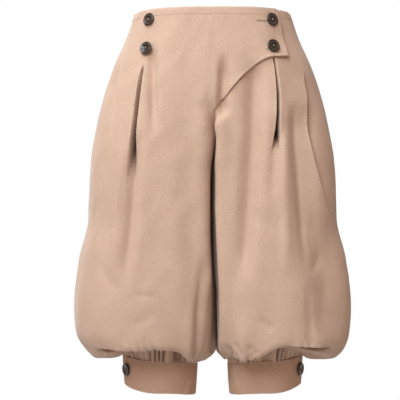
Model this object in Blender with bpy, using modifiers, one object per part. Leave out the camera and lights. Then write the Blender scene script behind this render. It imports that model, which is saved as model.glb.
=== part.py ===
"""Knee-length renaissance trousers, filled out as if worn, with no wearer inside.

Four body panels, two knee bands and six buttons, each one object. The wearer's
right front is cut in one with the fall flap, which laps over the left front and
buttons there. Each leg is lofted through rings that are read from one table, and
its pleats and folds are pushed in or out along the cloth's own direction.

Metres, +Z up. The front faces -Y and the wearer's right is at -X. The origin is
the middle of the waist opening, at its top edge, where the wearer holds the
trousers up. A leg is worked out at +X and then put on its own side.
"""

import math
from collections import namedtuple

import bmesh
import bpy
import numpy as np
from mathutils import Matrix, Vector

# Cloth and seams
CLOTH = 0.0014
SEAM_GAP = 0.0003
HALF_GAP = SEAM_GAP / 2
RIGHT = -1
LEFT = 1

# Fall flap: its edge, as ways out from the centre and down from the waist
FLAP_RISE = CLOTH + SEAM_GAP
FLAP_RAMP_START = 0.045
FLAP_RAMP_END = 0.012
FLAP_TOP = (0.104, 0.000)
FLAP_CORNER = (0.1215, 0.0810)
FLAP_CURVE_START = (0.098, 0.0830)
FLAP_CURVE_PULL = (0.066, 0.084)
FLY_END = 0.172
FLAP_FADE = 0.018
FLAP_COLUMNS = 14

# Pleats: how the mouth's floor, its shoulders and its lips lie
PLEAT_FLOOR = 0.55
PLEAT_NARROW = 0.5
PLEAT_OPENING = 0.0035
PLEAT_SHOULDER = 0.003
PLEAT_LIP_WIDTH = 0.010
PLEAT_LIP_RISE = 0.08

# Side folds: the width of the step, and how proud its edge is for its depth
SIDE_STEP = 0.008
STEP_PROUD = 0.4

# Strips beside the seams that folds stay out of
SEAM_STRIP = 0.008
SEAM_CALM = 0.030

# Columns of a body panel, and how much a bend draws them closer together
SIDE_COLUMNS = 2
FACE_COLUMNS = 5
INNER_COLUMNS = 9
BEND_WEIGHT = 0.06

# Gathers at each knee band
GATHERS_PER_PANEL = 12
POINTS_PER_GATHER = 4
GATHER_DEPTH = 0.0028
GATHER_TIGHT_FROM = 0.70
GATHER_TIGHT_TO = 0.90
GATHER_TIGHT_SHARE = 0.75

# Knee bands: angles from the leg's outer side towards its front
BAND_CLOTH = 0.0022
BAND_OVER_END = math.radians(18)
BAND_UNDER_END = math.radians(54)
BAND_RAMP = math.radians(50)
BAND_STATIONS = 45

# Buttons
BUTTON_RADIUS = 0.0109
BUTTON_THICKNESS = 0.0036
BUTTON_RIM = 0.0014
BUTTON_DISH_RADIUS = 0.0080
BUTTON_WELL_RADIUS = 0.0046
BUTTON_DISH_DEPTH = 0.0008
BUTTON_WELL_DEPTH = 0.0014
BUTTON_HOLE_RADIUS = 0.0009
BUTTON_HOLE_SPACING = 0.0017
BUTTON_STEPS = 18
HOLE_SIDES = 6

# Colours, roughness
CLOTH_COLOUR = (0.578, 0.386, 0.275)
CLOTH_ROUGHNESS = 0.9
BUTTON_COLOUR = (0.045, 0.023, 0.013)
BUTTON_ROUGHNESS = 0.35

# Fineness of the smooth rings, and the small steps that directions are found by
DENSE = 360
STEP_SHARE = 0.004
STEP_DOWN = 0.003

# One row for each ring round a leg, from the waist down. down is the way down the
# cloth, out and mid are the leg's outer side and its middle from the centre plane,
# gap is its inner side, front and back are its depths, seam_front and seam_back
# say how far forward and back the crotch seam still lies, and the heights are
# those of the ring's outer, inner, front and back points. outer says how square
# its outer corners are, 2 being round, and handle the same of its inner ones, 0.55
# being round. wall says how the cloth meets the crotch seam: 0 straight across,
# 1 running straight back. gather is how full its gathers are.
Ring = namedtuple(
    "Ring",
    "down out mid gap front back seam_front seam_back "
    "z_out z_in z_front z_back outer handle wall gather",
)
RINGS = [
    Ring(0.000, 0.1345, 0.030, 0.0002, 0.1050, 0.1030, 0.1050, 0.1030,
         0.000, 0.000, 0.000, 0.000, 2.10, 0.55, 0.00, 0),
    Ring(0.040, 0.1480, 0.036, 0.0002, 0.1090, 0.1100, 0.1090, 0.1100,
         -0.040, -0.040, -0.040, -0.040, 2.10, 0.55, 0.00, 0),
    Ring(0.090, 0.1700, 0.046, 0.0002, 0.1150, 0.1200, 0.1148, 0.1195,
         -0.090, -0.090, -0.090, -0.090, 2.15, 0.55, 0.15, 0),
    Ring(0.145, 0.1880, 0.062, 0.0002, 0.1210, 0.1280, 0.1190, 0.1240,
         -0.145, -0.145, -0.145, -0.145, 2.20, 0.58, 0.45, 0),
    Ring(0.190, 0.1985, 0.078, 0.0003, 0.1250, 0.1310, 0.1040, 0.1150,
         -0.190, -0.190, -0.190, -0.190, 2.25, 0.72, 0.80, 0),
    Ring(0.245, 0.2080, 0.094, 0.0003, 0.1280, 0.1320, 0.0620, 0.0780,
         -0.245, -0.245, -0.245, -0.245, 2.30, 0.84, 0.97, 0),
    Ring(0.300, 0.2115, 0.103, 0.0004, 0.1300, 0.1320, 0.0000, 0.0000,
         -0.300, -0.300, -0.300, -0.300, 2.30, 0.92, 1.00, 0),
    Ring(0.350, 0.2130, 0.107, 0.0004, 0.1310, 0.1320, 0.0000, 0.0000,
         -0.350, -0.350, -0.350, -0.350, 2.30, 0.92, 1.00, 0),
    Ring(0.420, 0.2290, 0.115, 0.0004, 0.1330, 0.1330, 0.0000, 0.0000,
         -0.420, -0.420, -0.420, -0.420, 2.30, 0.92, 1.00, 0),
    Ring(0.500, 0.2370, 0.119, 0.0005, 0.1350, 0.1340, 0.0000, 0.0000,
         -0.500, -0.500, -0.498, -0.499, 2.30, 0.88, 1.00, 0),
    Ring(0.545, 0.2340, 0.118, 0.0006, 0.1330, 0.1330, 0.0000, 0.0000,
         -0.545, -0.543, -0.534, -0.540, 2.30, 0.80, 1.00, 0),
    Ring(0.572, 0.2220, 0.115, 0.0010, 0.1280, 0.1280, 0.0000, 0.0000,
         -0.574, -0.567, -0.555, -0.564, 2.30, 0.72, 1.00, 0.10),
    Ring(0.592, 0.2050, 0.111, 0.0040, 0.1190, 0.1200, 0.0000, 0.0000,
         -0.588, -0.579, -0.564, -0.576, 2.30, 0.64, 1.00, 0.25),
    Ring(0.612, 0.1860, 0.105, 0.0110, 0.1050, 0.1060, 0.0000, 0.0000,
         -0.589, -0.586, -0.561, -0.575, 2.25, 0.62, 1.00, 0.60),
    Ring(0.630, 0.1680, 0.097, 0.0180, 0.0890, 0.0910, 0.0000, 0.0000,
         -0.586, -0.590, -0.562, -0.571, 2.20, 0.60, 1.00, 1.00),
    Ring(0.648, 0.1560, 0.091, 0.0235, 0.0730, 0.0740, 0.0000, 0.0000,
         -0.5745, -0.587, -0.570, -0.570, 2.20, 0.60, 1.00, 0.80),
    Ring(0.662, 0.1530, 0.090, 0.0265, 0.0670, 0.0670, 0.0000, 0.0000,
         -0.5785, -0.597, -0.586, -0.584, 2.20, 0.60, 1.00, 0),
]
CROTCH = 0.300
HEM = 0.662

# How far towards the wearer's left the line between the legs leans, on its way down
LEAN_DOWN = [0.000, 0.180, 0.260, 0.400, 0.520, 0.600, 0.662]
LEAN_X = [0.0000, 0.0000, -0.0015, 0.0030, 0.0065, 0.0040, 0.0000]
LEAN_REACH = 0.105

# Rows of each body panel, down the cloth
BODY_ROWS = [
    0.000, 0.020, 0.045, 0.070, 0.085, 0.100, 0.114, 0.128, 0.142, 0.155,
    0.178, 0.203, 0.228, 0.253, 0.277, 0.300, 0.335, 0.375, 0.420, 0.465,
    0.508, 0.538, 0.560, 0.578,
]
GATHER_ROWS = [0.597, 0.618, 0.634, 0.649, HEM]

# The same for a knee band, from the leg's hem down
BAND_RINGS = [
    Ring(0.000, 0.1540, 0.0900, 0.0255, 0.0680, 0.0680, 0, 0,
         -0.5785, -0.597, -0.586, -0.584, 2.20, 0.60, 1, 0),
    Ring(0.027, 0.1522, 0.0895, 0.0265, 0.0665, 0.0665, 0, 0,
         -0.604, -0.623, -0.614, -0.611, 2.20, 0.61, 1, 0),
    Ring(0.054, 0.1505, 0.0885, 0.0285, 0.0640, 0.0640, 0, 0,
         -0.629, -0.649, -0.641, -0.638, 2.20, 0.62, 1, 0),
]

# One row for each fold: the ways down the cloth where it starts, is full, starts to
# fade and ends, how far out it lies at its top, middle and foot, and its size
Fold = namedtuple("Fold", "kind top full fading foot x_top x_middle x_foot width depth")
FOLDS = {
    "right_front": [
        Fold("step", 0.085, 0.130, 0.260, 0.350, 0.1580, 0.1760, 0.2070, 0.028, 0.0065),
        Fold("slit", 0.078, 0.108, 0.205, 0.300, 0.1165, 0.1305, 0.1400, 0.0040, 0.0120),
        Fold("trough", 0.070, 0.100, 0.140, 0.190, 0.1060, 0.1050, 0.1020, 0.012, 0.0020),
        Fold("trough", 0.200, 0.260, 0.360, 0.480, 0.1330, 0.1450, 0.1500, 0.014, 0.0035),
        Fold("ridge", 0.300, 0.360, 0.480, 0.560, 0.0700, 0.0620, 0.0560, 0.022, 0.0020),
        Fold("trough", 0.430, 0.500, 0.560, 0.600, 0.0330, 0.0345, 0.0360, 0.012, 0.0030),
    ],
    "left_front": [
        Fold("step", 0.095, 0.140, 0.270, 0.355, 0.1500, 0.1660, 0.2020, 0.028, 0.0075),
        Fold("slit", 0.077, 0.105, 0.180, 0.260, 0.0990, 0.1065, 0.0980, 0.0038, 0.0110),
        Fold("trough", 0.170, 0.220, 0.260, 0.340, 0.1060, 0.1000, 0.0900, 0.012, 0.0025),
        Fold("trough", 0.150, 0.190, 0.300, 0.380, 0.0540, 0.0520, 0.0400, 0.016, 0.0022),
        Fold("ridge", 0.200, 0.250, 0.370, 0.440, 0.1180, 0.1200, 0.1230, 0.014, 0.0025),
        Fold("trough", 0.230, 0.280, 0.390, 0.450, 0.1340, 0.1370, 0.1420, 0.014, 0.0030),
        Fold("trough", 0.440, 0.500, 0.560, 0.600, 0.1560, 0.1580, 0.1600, 0.012, 0.0022),
    ],
    "right_back": [
        Fold("step", 0.090, 0.150, 0.250, 0.340, 0.1520, 0.1700, 0.2020, 0.028, 0.0050),
        Fold("slit", 0.075, 0.110, 0.190, 0.280, 0.0960, 0.1040, 0.1080, 0.0040, 0.0100),
        Fold("trough", 0.180, 0.240, 0.320, 0.420, 0.1040, 0.1090, 0.1120, 0.014, 0.0030),
        Fold("trough", 0.160, 0.220, 0.330, 0.430, 0.0560, 0.0520, 0.0480, 0.018, 0.0025),
        Fold("ridge", 0.260, 0.330, 0.440, 0.540, 0.1350, 0.1400, 0.1460, 0.020, 0.0025),
    ],
    "left_back": [
        Fold("step", 0.085, 0.140, 0.260, 0.345, 0.1540, 0.1720, 0.2040, 0.028, 0.0055),
        Fold("slit", 0.075, 0.105, 0.200, 0.290, 0.1000, 0.1070, 0.1130, 0.0040, 0.0100),
        Fold("trough", 0.190, 0.250, 0.330, 0.430, 0.1080, 0.1150, 0.1190, 0.014, 0.0030),
        Fold("ridge", 0.170, 0.240, 0.350, 0.450, 0.0620, 0.0600, 0.0560, 0.018, 0.0022),
        Fold("trough", 0.300, 0.360, 0.460, 0.550, 0.0820, 0.0860, 0.0880, 0.020, 0.0025),
    ],
}

# Buttons on the waist: their side, and their places out from the centre and down
Place = namedtuple("Place", "name side x down")
WAIST_BUTTONS = [
    Place("waist_button_right_upper", RIGHT, 0.1050, 0.0182),
    Place("waist_button_right_lower", RIGHT, 0.1095, 0.0675),
    Place("waist_button_left_upper", LEFT, 0.0955, 0.0198),
    Place("waist_button_left_lower", LEFT, 0.0970, 0.0650),
]
KNEE_BUTTON_ANGLE = {RIGHT: math.radians(36), LEFT: math.radians(33)}
KNEE_BUTTON_DOWN = 0.023


def monotone(knots, values, at):
    """A smooth curve through the knots that never swings past them."""
    knots = np.asarray(knots, float)
    values = np.asarray(values, float)
    step = np.diff(knots)
    slope = np.diff(values) / step
    tangent = np.zeros(len(knots))
    same = slope[:-1] * slope[1:] > 0
    before = 2 * step[1:] + step[:-1]
    after = step[1:] + 2 * step[:-1]
    inner = np.zeros(len(slope) - 1)
    inner[same] = (before + after)[same] / (
        before[same] / slope[:-1][same] + after[same] / slope[1:][same]
    )
    tangent[1:-1] = inner
    tangent[0], tangent[-1] = slope[0], slope[-1]
    i = np.clip(np.searchsorted(knots, at, side="right") - 1, 0, len(step) - 1)
    u = (at - knots[i]) / step[i]
    return (
        values[i] * (1 + 2 * u) * (1 - u) ** 2
        + tangent[i] * step[i] * u * (1 - u) ** 2
        + values[i + 1] * u * u * (3 - 2 * u)
        + tangent[i + 1] * step[i] * u * u * (u - 1)
    )


def smooth(value, start, end):
    """0 before start and 1 past end, with a soft rise between them."""
    u = np.clip((value - start) / (end - start), 0.0, 1.0)
    return u * u * (3 - 2 * u)


def ring_at(rings, down):
    """The ring that a table gives at this way down the cloth."""
    knots = [ring.down for ring in rings]
    return Ring(*[float(monotone(knots, column, down)) for column in zip(*rings)])


def half_ring(ring, front):
    """Points from the ring's outer side round its front or back to its inner seam."""
    depth = ring.front if front else ring.back
    seam = ring.seam_front if front else ring.seam_back
    z_face = ring.z_front if front else ring.z_back
    turn = np.linspace(0, math.pi / 2, DENSE)
    outer = np.column_stack([
        ring.mid + (ring.out - ring.mid) * np.cos(turn) ** (2 / ring.outer),
        depth * np.sin(turn) ** (2 / ring.outer),
        ring.z_out * np.cos(turn) ** 2 + z_face * np.sin(turn) ** 2,
    ])
    reach = ring.handle * (ring.mid - ring.gap)
    back = ring.handle * (depth - seam)
    pulls = [
        (ring.mid, depth, z_face),
        (ring.mid - reach, depth, z_face),
        (ring.gap + reach * (1 - ring.wall), seam + back * ring.wall, ring.z_in),
        (ring.gap, seam, ring.z_in),
    ]
    u = np.linspace(0, 1, DENSE)[1:, None]
    weights = [(1 - u) ** 3, 3 * u * (1 - u) ** 2, 3 * u * u * (1 - u), u**3]
    inner = sum(weight * np.array(pull) for weight, pull in zip(weights, pulls))
    points = np.concatenate([outer, inner])
    return points * (1, -1 if front else 1, 1)


def along(points):
    """The way along a line of points, from its first."""
    steps = np.linalg.norm(np.diff(points, axis=0), axis=1)
    return np.concatenate([[0], np.cumsum(steps)])


def read_line(points, way, at):
    """The points of a line at these ways along it."""
    return np.column_stack([np.interp(at, way, points[:, i]) for i in range(3)])


def fold_share(fold, down):
    """How much of a fold there is at this way down, from 0 to 1."""
    growing = smooth(down, fold.top, fold.full)
    return float(growing * (1 - smooth(down, fold.fading, fold.foot)))


def slit_half(fold, down):
    """Half the width of a pleat's mouth: narrow where it starts, wide where it ends."""
    narrow = PLEAT_NARROW + (1 - PLEAT_NARROW) * smooth(down, fold.top, fold.full)
    return float(fold.width / 2 * narrow + PLEAT_OPENING * smooth(down, fold.fading, fold.foot))


def slit(fold, off, down):
    """A pleat's mouth, with steep sides, and lips that stand a little proud."""
    half = slit_half(fold, down)
    mouth = 1 - smooth(np.abs(off), half * PLEAT_FLOOR, half)
    lips = np.exp(-np.maximum(np.abs(off) - half, 0) / PLEAT_LIP_WIDTH)
    return PLEAT_LIP_RISE * lips * (1 - mouth) - mouth


def step(fold, off, down):
    """A pressed edge that stands over the cloth on the side where off is below 0."""
    up = smooth(off, -SIDE_STEP / 2, SIDE_STEP / 2)
    proud = STEP_PROUD * np.exp(-np.maximum(off, 0) / fold.width)
    sunk = np.exp(np.minimum(off, 0) / fold.width)
    return up * proud - (1 - up) * sunk


def trough(fold, off, down):
    """A soft hollow along a fold's line."""
    return -np.exp(-((off / fold.width) ** 2))


def ridge(fold, off, down):
    """A soft crest along a fold's line."""
    return np.exp(-((off / fold.width) ** 2))


FOLD_KINDS = {"slit": slit, "step": step, "trough": trough, "ridge": ridge}


class Face:
    """The front or the back of a leg, as a surface to read points from."""

    def __init__(self, rings, front, folds=()):
        self.rings = rings
        self.front = front
        self.folds = folds
        self.lines = {}

    def line(self, down):
        """The smooth ring at this way down: its points and the way along them."""
        if down not in self.lines:
            points = half_ring(ring_at(self.rings, down), self.front)
            self.lines[down] = points, along(points)
        return self.lines[down]

    def length(self, down):
        """The ring's length, from the side seam to the inner seam."""
        return self.line(down)[1][-1]

    def way_at_x(self, down, x):
        """The way along the ring to where it is this far from the centre plane."""
        points, way = self.line(down)
        return float(np.interp(-x, -points[:, 0], way))

    def way_at_fold(self, fold, down):
        """The way to a fold's line, in proportion to the ring above and below it."""
        known = min(max(down, fold.top), fold.foot)
        u = (known - fold.top) / (fold.foot - fold.top)
        ends = fold.x_top * (1 - u) * (1 - 2 * u) + fold.x_foot * u * (2 * u - 1)
        x = ends + fold.x_middle * 4 * u * (1 - u)
        scale = ring_at(self.rings, down).out / ring_at(self.rings, known).out
        return self.way_at_x(down, x * scale)

    def place(self, down, ways):
        """Points of the smooth surface."""
        points, way = self.line(down)
        return read_line(points, way, np.clip(ways, 0, way[-1]))

    def outward(self, down, ways):
        """Directions straight out of the smooth surface."""
        length = self.length(down)
        shares = np.asarray(ways) / length
        ahead = self.place(down, ways + STEP_SHARE * length)
        ahead -= self.place(down, ways - STEP_SHARE * length)
        low = min(down + STEP_DOWN, self.rings[-1].down)
        high = max(down - STEP_DOWN, 0.0)
        fall = self.place(low, shares * self.length(low))
        fall -= self.place(high, shares * self.length(high))
        found = np.cross(ahead, fall) if self.front else np.cross(fall, ahead)
        return found / np.linalg.norm(found, axis=1)[:, None]

    def row(self, down, ways, lift=0.0):
        """Points of the folded cloth, lifted off it if so asked."""
        ways = np.asarray(ways, float)
        pushed = np.zeros(len(ways))
        for fold in self.folds:
            share = fold_share(fold, down)
            if share > 0:
                off = ways - self.way_at_fold(fold, down)
                pushed += share * fold.depth * FOLD_KINDS[fold.kind](fold, off, down)
        calm = smooth(ways, SEAM_STRIP, SEAM_CALM)
        calm *= smooth(self.length(down) - ways, SEAM_STRIP, SEAM_CALM)
        pushed = pushed * calm + lift
        return self.place(down, ways) + self.outward(down, ways) * pushed[:, None]


def spread(face, down, start, end, count):
    """Ways along the ring from start to end, closer together where it bends."""
    points, way = face.line(down)
    steps = np.diff(points[:, :2], axis=0)
    heading = np.unwrap(np.arctan2(steps[:, 1], steps[:, 0]))
    turned = np.concatenate([[0], np.cumsum(np.abs(np.diff(heading))), [0]])
    turned[-1] = turned[-2]
    weighed = way + BEND_WEIGHT * turned
    marks = np.interp([start, end], way, weighed)
    return np.interp(np.linspace(*marks, count + 1), weighed, way)


def panel_columns(face, down):
    """Where the columns of a body panel lie along the ring, from side to seam."""
    side = next(fold for fold in face.folds if fold.kind == "step")
    pleat = next(fold for fold in face.folds if fold.kind == "slit")
    at_side = face.way_at_fold(side, down)
    at_pleat = face.way_at_fold(pleat, down)
    half = slit_half(pleat, down)
    shoulder = half + PLEAT_SHOULDER
    last = face.length(down) - (HALF_GAP if down >= CROTCH else 0)
    return np.concatenate([
        [HALF_GAP],
        spread(face, down, SEAM_STRIP, at_side - SIDE_STEP / 2, SIDE_COLUMNS),
        spread(face, down, at_side + SIDE_STEP / 2, at_pleat - shoulder, FACE_COLUMNS),
        at_pleat + half * np.array([-1, -PLEAT_FLOOR, PLEAT_FLOOR, 1]),
        spread(face, down, at_pleat + shoulder, last - SEAM_STRIP, INNER_COLUMNS),
        [last],
    ])


def gather_row(face, down):
    """Points of one row through the gathers, and their shares of its length."""
    shares = np.linspace(0, 1, GATHERS_PER_PANEL * POINTS_PER_GATHER + 1)
    ways = np.linspace(HALF_GAP, face.length(down) - HALF_GAP, len(shares))
    tight = GATHER_TIGHT_SHARE * smooth(shares, GATHER_TIGHT_FROM, GATHER_TIGHT_TO)
    depth = GATHER_DEPTH * ring_at(face.rings, down).gather * (1 - tight)
    wave = -depth * np.cos(2 * math.pi * GATHERS_PER_PANEL * shares)
    return face.place(down, ways) + face.outward(down, ways) * wave[:, None], shares


def panel_rows(face):
    """All rows of a body panel, each with its points' shares of the row's length."""
    rows = []
    for down in BODY_ROWS:
        ways = panel_columns(face, down)
        rows.append((face.row(down, ways), ways / face.length(down)))
    return rows + [gather_row(face, down) for down in GATHER_ROWS]


def raise_for_flap(rows):
    """Bring the right front forward near the centre, to lap over the left front."""
    for down, (points, _) in zip(BODY_ROWS, rows):
        near = 1 - smooth(points[:, 0], FLAP_RAMP_END, FLAP_RAMP_START)
        points[:, 1] -= FLAP_RISE * near * (1 - smooth(down, FLY_END, FLY_END + FLAP_FADE))


def flap_foot(x):
    """How far down the flap's lower edge lies, this far out from the centre."""
    turn = np.linspace(0, 1, DENSE)[:, None]
    start, pull, end = np.array(FLAP_CURVE_START), np.array(FLAP_CURVE_PULL), (0, FLY_END)
    curve = start * (1 - turn) ** 2 + pull * 2 * turn * (1 - turn) + turn**2 * end
    edge = np.vstack([FLAP_CORNER, curve])[::-1]
    return float(np.interp(x, edge[:, 0], edge[:, 1]))


def flap_rows(left_face):
    """Rows of the flap past the centre, made from the left front's surface, lifted."""
    rows = []
    for down in BODY_ROWS:
        if down > FLY_END:
            break
        share_down = down / FLY_END
        side = FLAP_TOP[0] + (FLAP_CORNER[0] - FLAP_TOP[0]) * share_down
        points = []
        for share in np.linspace(0, 1, FLAP_COLUMNS + 1)[1:]:
            here = share_down * flap_foot(share * FLAP_CORNER[0])
            way = left_face.way_at_x(here, share * side)
            points.append(left_face.row(here, [way], FLAP_RISE)[0])
        rows.append(np.array(points))
    return rows


def bridge(mesh, upper, lower, keys_up, keys_low, flip):
    """Faces between two rows of vertices, whose keys say how far along each one is."""
    i = j = 0
    paired = len(upper) == len(lower)
    while i < len(upper) - 1 or j < len(lower) - 1:
        if paired:
            corners = [upper[i], lower[i], lower[i + 1], upper[i + 1]]
            i, j = i + 1, j + 1
        elif j == len(lower) - 1 or (i < len(upper) - 1 and keys_up[i + 1] < keys_low[j + 1]):
            corners = [upper[i], lower[j], upper[i + 1]]
            i += 1
        else:
            corners = [upper[i], lower[j], lower[j + 1]]
            j += 1
        mesh.faces.new(corners[::-1] if flip else corners)


def add_row(mesh, points, side, down=0.0):
    """Vertices for one row, on the leg's own side, leaning as the legs do there."""
    lean = monotone(LEAN_DOWN, LEAN_X, down) * (1 - smooth(points[:, 0], 0, LEAN_REACH))
    return [mesh.verts.new((side * x + shift, y, z)) for (x, y, z), shift in zip(points, lean)]


def as_cloth(name, mesh, thickness):
    """An object whose open surface is given the cloth's thickness, inwards."""
    data = bpy.data.meshes.new(name)
    mesh.to_mesh(data)
    mesh.free()
    data.shade_smooth()
    data.set_sharp_from_angle(angle=math.radians(50))
    cloth = bpy.data.objects.new(name, data)
    wall = cloth.modifiers.new("Cloth thickness", "SOLIDIFY")
    wall.thickness = thickness
    wall.offset = -1
    wall.use_even_offset = True
    wall.use_quality_normals = True
    return cloth


def body_panel(name, side, front, flap_on=None):
    """One front or back panel, waist to knee band, and its flap if it has one."""
    face = Face(RINGS, front, FOLDS[name])
    rows = panel_rows(face)
    if flap_on:
        raise_for_flap(rows)
    flip = (side == LEFT) == front
    mesh = bmesh.new()
    lines = [
        (add_row(mesh, points, side, down), keys)
        for down, (points, keys) in zip(BODY_ROWS + GATHER_ROWS, rows)
    ]
    for (upper, keys_up), (lower, keys_low) in zip(lines, lines[1:]):
        bridge(mesh, upper, lower, keys_up, keys_low, flip)
    if flap_on:
        flap = [add_row(mesh, points, LEFT) for points in flap_rows(flap_on)]
        joined = [[line[0][-1]] + row for line, row in zip(lines, flap)]
        keys = np.linspace(0, 1, FLAP_COLUMNS + 1)
        for upper, lower in zip(joined, joined[1:]):
            bridge(mesh, upper, lower, keys, keys, flip)
    return as_cloth(name, mesh, CLOTH)


def band_point(side_front, side_back, down, angle, lift):
    """A place on a knee band: angle runs from its outer side round by its front."""
    turn = angle % (2 * math.pi)
    face = side_front if turn <= math.pi else side_back
    share = (turn if turn <= math.pi else 2 * math.pi - turn) / math.pi
    way = [share * face.length(down)]
    return face.place(down, way)[0], face.outward(down, way)[0], lift


def band_lift(swept):
    """How far the band has come out by the time it has swept this far round."""
    over_start = BAND_UNDER_END - BAND_OVER_END
    total = 2 * math.pi + over_start
    risen = smooth(swept, total - over_start - BAND_RAMP, total - over_start)
    return float(risen) * (BAND_CLOTH + SEAM_GAP)


def knee_band(name, side):
    """A strip round the knee, from under its own end at the outer front."""
    front, back = Face(BAND_RINGS, True), Face(BAND_RINGS, False)
    total = 2 * math.pi + BAND_UNDER_END - BAND_OVER_END
    mesh = bmesh.new()
    lines = []
    for ring in BAND_RINGS:
        points = []
        for swept in np.linspace(0, total, BAND_STATIONS + 1):
            point, outward, lift = band_point(
                front, back, ring.down, BAND_UNDER_END - swept, band_lift(swept)
            )
            points.append(point + outward * lift - np.array([0, 0, SEAM_GAP]))
        lines.append(add_row(mesh, np.array(points), side))
    keys = np.arange(BAND_STATIONS + 1)
    for upper, lower in zip(lines, lines[1:]):
        bridge(mesh, upper, lower, keys, keys, side == RIGHT)
    return as_cloth(name, mesh, BAND_CLOTH)


def button_profile():
    """The turned outline, from the middle of the top, out and down to the back."""
    top = BUTTON_THICKNESS
    turn = np.linspace(math.pi * 0.75, -math.pi / 2, 5)
    rim_x = BUTTON_RADIUS - BUTTON_RIM
    rim = [(rim_x + BUTTON_RIM * math.cos(a), top - BUTTON_RIM + BUTTON_RIM * math.sin(a))
           for a in turn]
    rim[-1] = (rim_x, 0.0)
    return [
        (0.0, top - BUTTON_WELL_DEPTH),
        (BUTTON_WELL_RADIUS, top - BUTTON_WELL_DEPTH),
        (BUTTON_DISH_RADIUS, top - BUTTON_DISH_DEPTH),
    ] + rim + [(0.0, 0.0)]


def button_blank():
    """The turned button before its holes are drilled, as a mesh."""
    mesh = bmesh.new()
    verts = [mesh.verts.new((x, 0, z)) for x, z in button_profile()]
    for a, b in zip(verts, verts[1:]):
        mesh.edges.new((a, b))
    data = bpy.data.meshes.new("button")
    mesh.to_mesh(data)
    mesh.free()
    return data


def hole_cutter():
    """Four drills in one object."""
    mesh = bmesh.new()
    for quarter in range(4):
        angle = math.pi / 4 + quarter * math.pi / 2
        place = Matrix.Translation((
            BUTTON_HOLE_SPACING * math.cos(angle),
            BUTTON_HOLE_SPACING * math.sin(angle),
            BUTTON_THICKNESS / 2,
        ))
        bmesh.ops.create_cone(
            mesh, cap_ends=True, segments=HOLE_SIDES, radius1=BUTTON_HOLE_RADIUS,
            radius2=BUTTON_HOLE_RADIUS, depth=2 * BUTTON_THICKNESS, matrix=place,
        )
    data = bpy.data.meshes.new("button_drills")
    mesh.to_mesh(data)
    mesh.free()
    return bpy.data.objects.new("button_drills", data)


def button(name, blank, cutters, point, outward):
    """A turned button with four holes, lying on the cloth at this point."""
    turned = bpy.data.objects.new(name, blank.copy())
    screw = turned.modifiers.new("Turned", "SCREW")
    screw.steps = screw.render_steps = BUTTON_STEPS
    screw.use_merge_vertices = True
    screw.merge_threshold = 0.00001
    drills = hole_cutter()
    drills.name = name + "_drills"
    drills.hide_render = True
    drills.display_type = "WIRE"
    cutters.objects.link(drills)
    cut = turned.modifiers.new("Holes", "BOOLEAN")
    cut.object = drills
    facing = Vector(outward).to_track_quat("Z", "Y").to_matrix().to_4x4()
    place = Matrix.Translation(Vector(point) + Vector(outward) * SEAM_GAP) @ facing
    turned.matrix_world = place
    drills.matrix_world = place
    return turned


def waist_button(place, face, blank, cutters):
    """A button on the waist: on the left it lies on the flap."""
    way = [face.way_at_x(place.down, place.x)]
    lift = FLAP_RISE if place.side == LEFT else 0.0
    point = face.row(place.down, way, lift)[0]
    outward = face.outward(place.down, way)[0]
    mirror = np.array([place.side, 1, 1])
    return button(place.name, blank, cutters, point * mirror, outward * mirror)


def knee_button(name, side, blank, cutters):
    """A button on a knee band, where its ends overlap."""
    front, back = Face(BAND_RINGS, True), Face(BAND_RINGS, False)
    point, outward, lift = band_point(
        front, back, KNEE_BUTTON_DOWN, KNEE_BUTTON_ANGLE[side], BAND_CLOTH + SEAM_GAP
    )
    mirror = np.array([side, 1, 1])
    return button(name, blank, cutters, (point + outward * lift) * mirror, outward * mirror)


def finish(piece, colour, roughness):
    """Give a piece its own material."""
    material = bpy.data.materials.new(piece.name)
    material.use_nodes = True
    shader = material.node_tree.nodes["Principled BSDF"]
    shader.inputs["Base Color"].default_value = (*colour, 1)
    shader.inputs["Roughness"].default_value = roughness
    shader.inputs["Metallic"].default_value = 0
    piece.data.materials.append(material)


def main():
    """Build the trousers in a collection of their own."""
    for old in list(bpy.data.objects):
        bpy.data.objects.remove(old)
    trousers = bpy.data.collections.new("renaissance_trousers")
    cutters = bpy.data.collections.new("cutters")
    bpy.context.scene.collection.children.link(trousers)
    bpy.context.scene.collection.children.link(cutters)

    left_face = Face(RINGS, True, FOLDS["left_front"])
    right_face = Face(RINGS, True, FOLDS["right_front"])
    cloth = [
        body_panel("right_front", RIGHT, True, flap_on=left_face),
        body_panel("left_front", LEFT, True),
        body_panel("right_back", RIGHT, False),
        body_panel("left_back", LEFT, False),
        knee_band("right_knee_band", RIGHT),
        knee_band("left_knee_band", LEFT),
    ]
    blank = button_blank()
    buttons = [
        waist_button(place, left_face if place.side == LEFT else right_face, blank, cutters)
        for place in WAIST_BUTTONS
    ]
    buttons.append(knee_button("knee_button_right", RIGHT, blank, cutters))
    buttons.append(knee_button("knee_button_left", LEFT, blank, cutters))
    for piece in cloth:
        finish(piece, CLOTH_COLOUR, CLOTH_ROUGHNESS)
    for piece in buttons:
        finish(piece, BUTTON_COLOUR, BUTTON_ROUGHNESS)
    for piece in cloth + buttons:
        trousers.objects.link(piece)


main()
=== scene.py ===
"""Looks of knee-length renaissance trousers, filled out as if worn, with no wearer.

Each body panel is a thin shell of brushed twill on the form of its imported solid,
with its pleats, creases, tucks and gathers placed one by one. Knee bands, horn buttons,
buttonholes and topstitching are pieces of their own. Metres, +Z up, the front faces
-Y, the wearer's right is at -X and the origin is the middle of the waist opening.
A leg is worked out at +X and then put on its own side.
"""

from __future__ import annotations

import logging
import math
from dataclasses import dataclass, field
from enum import Enum
from typing import NamedTuple, Sequence

import bmesh
import bpy
import numpy as np
from mathutils import Matrix, Vector


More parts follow.
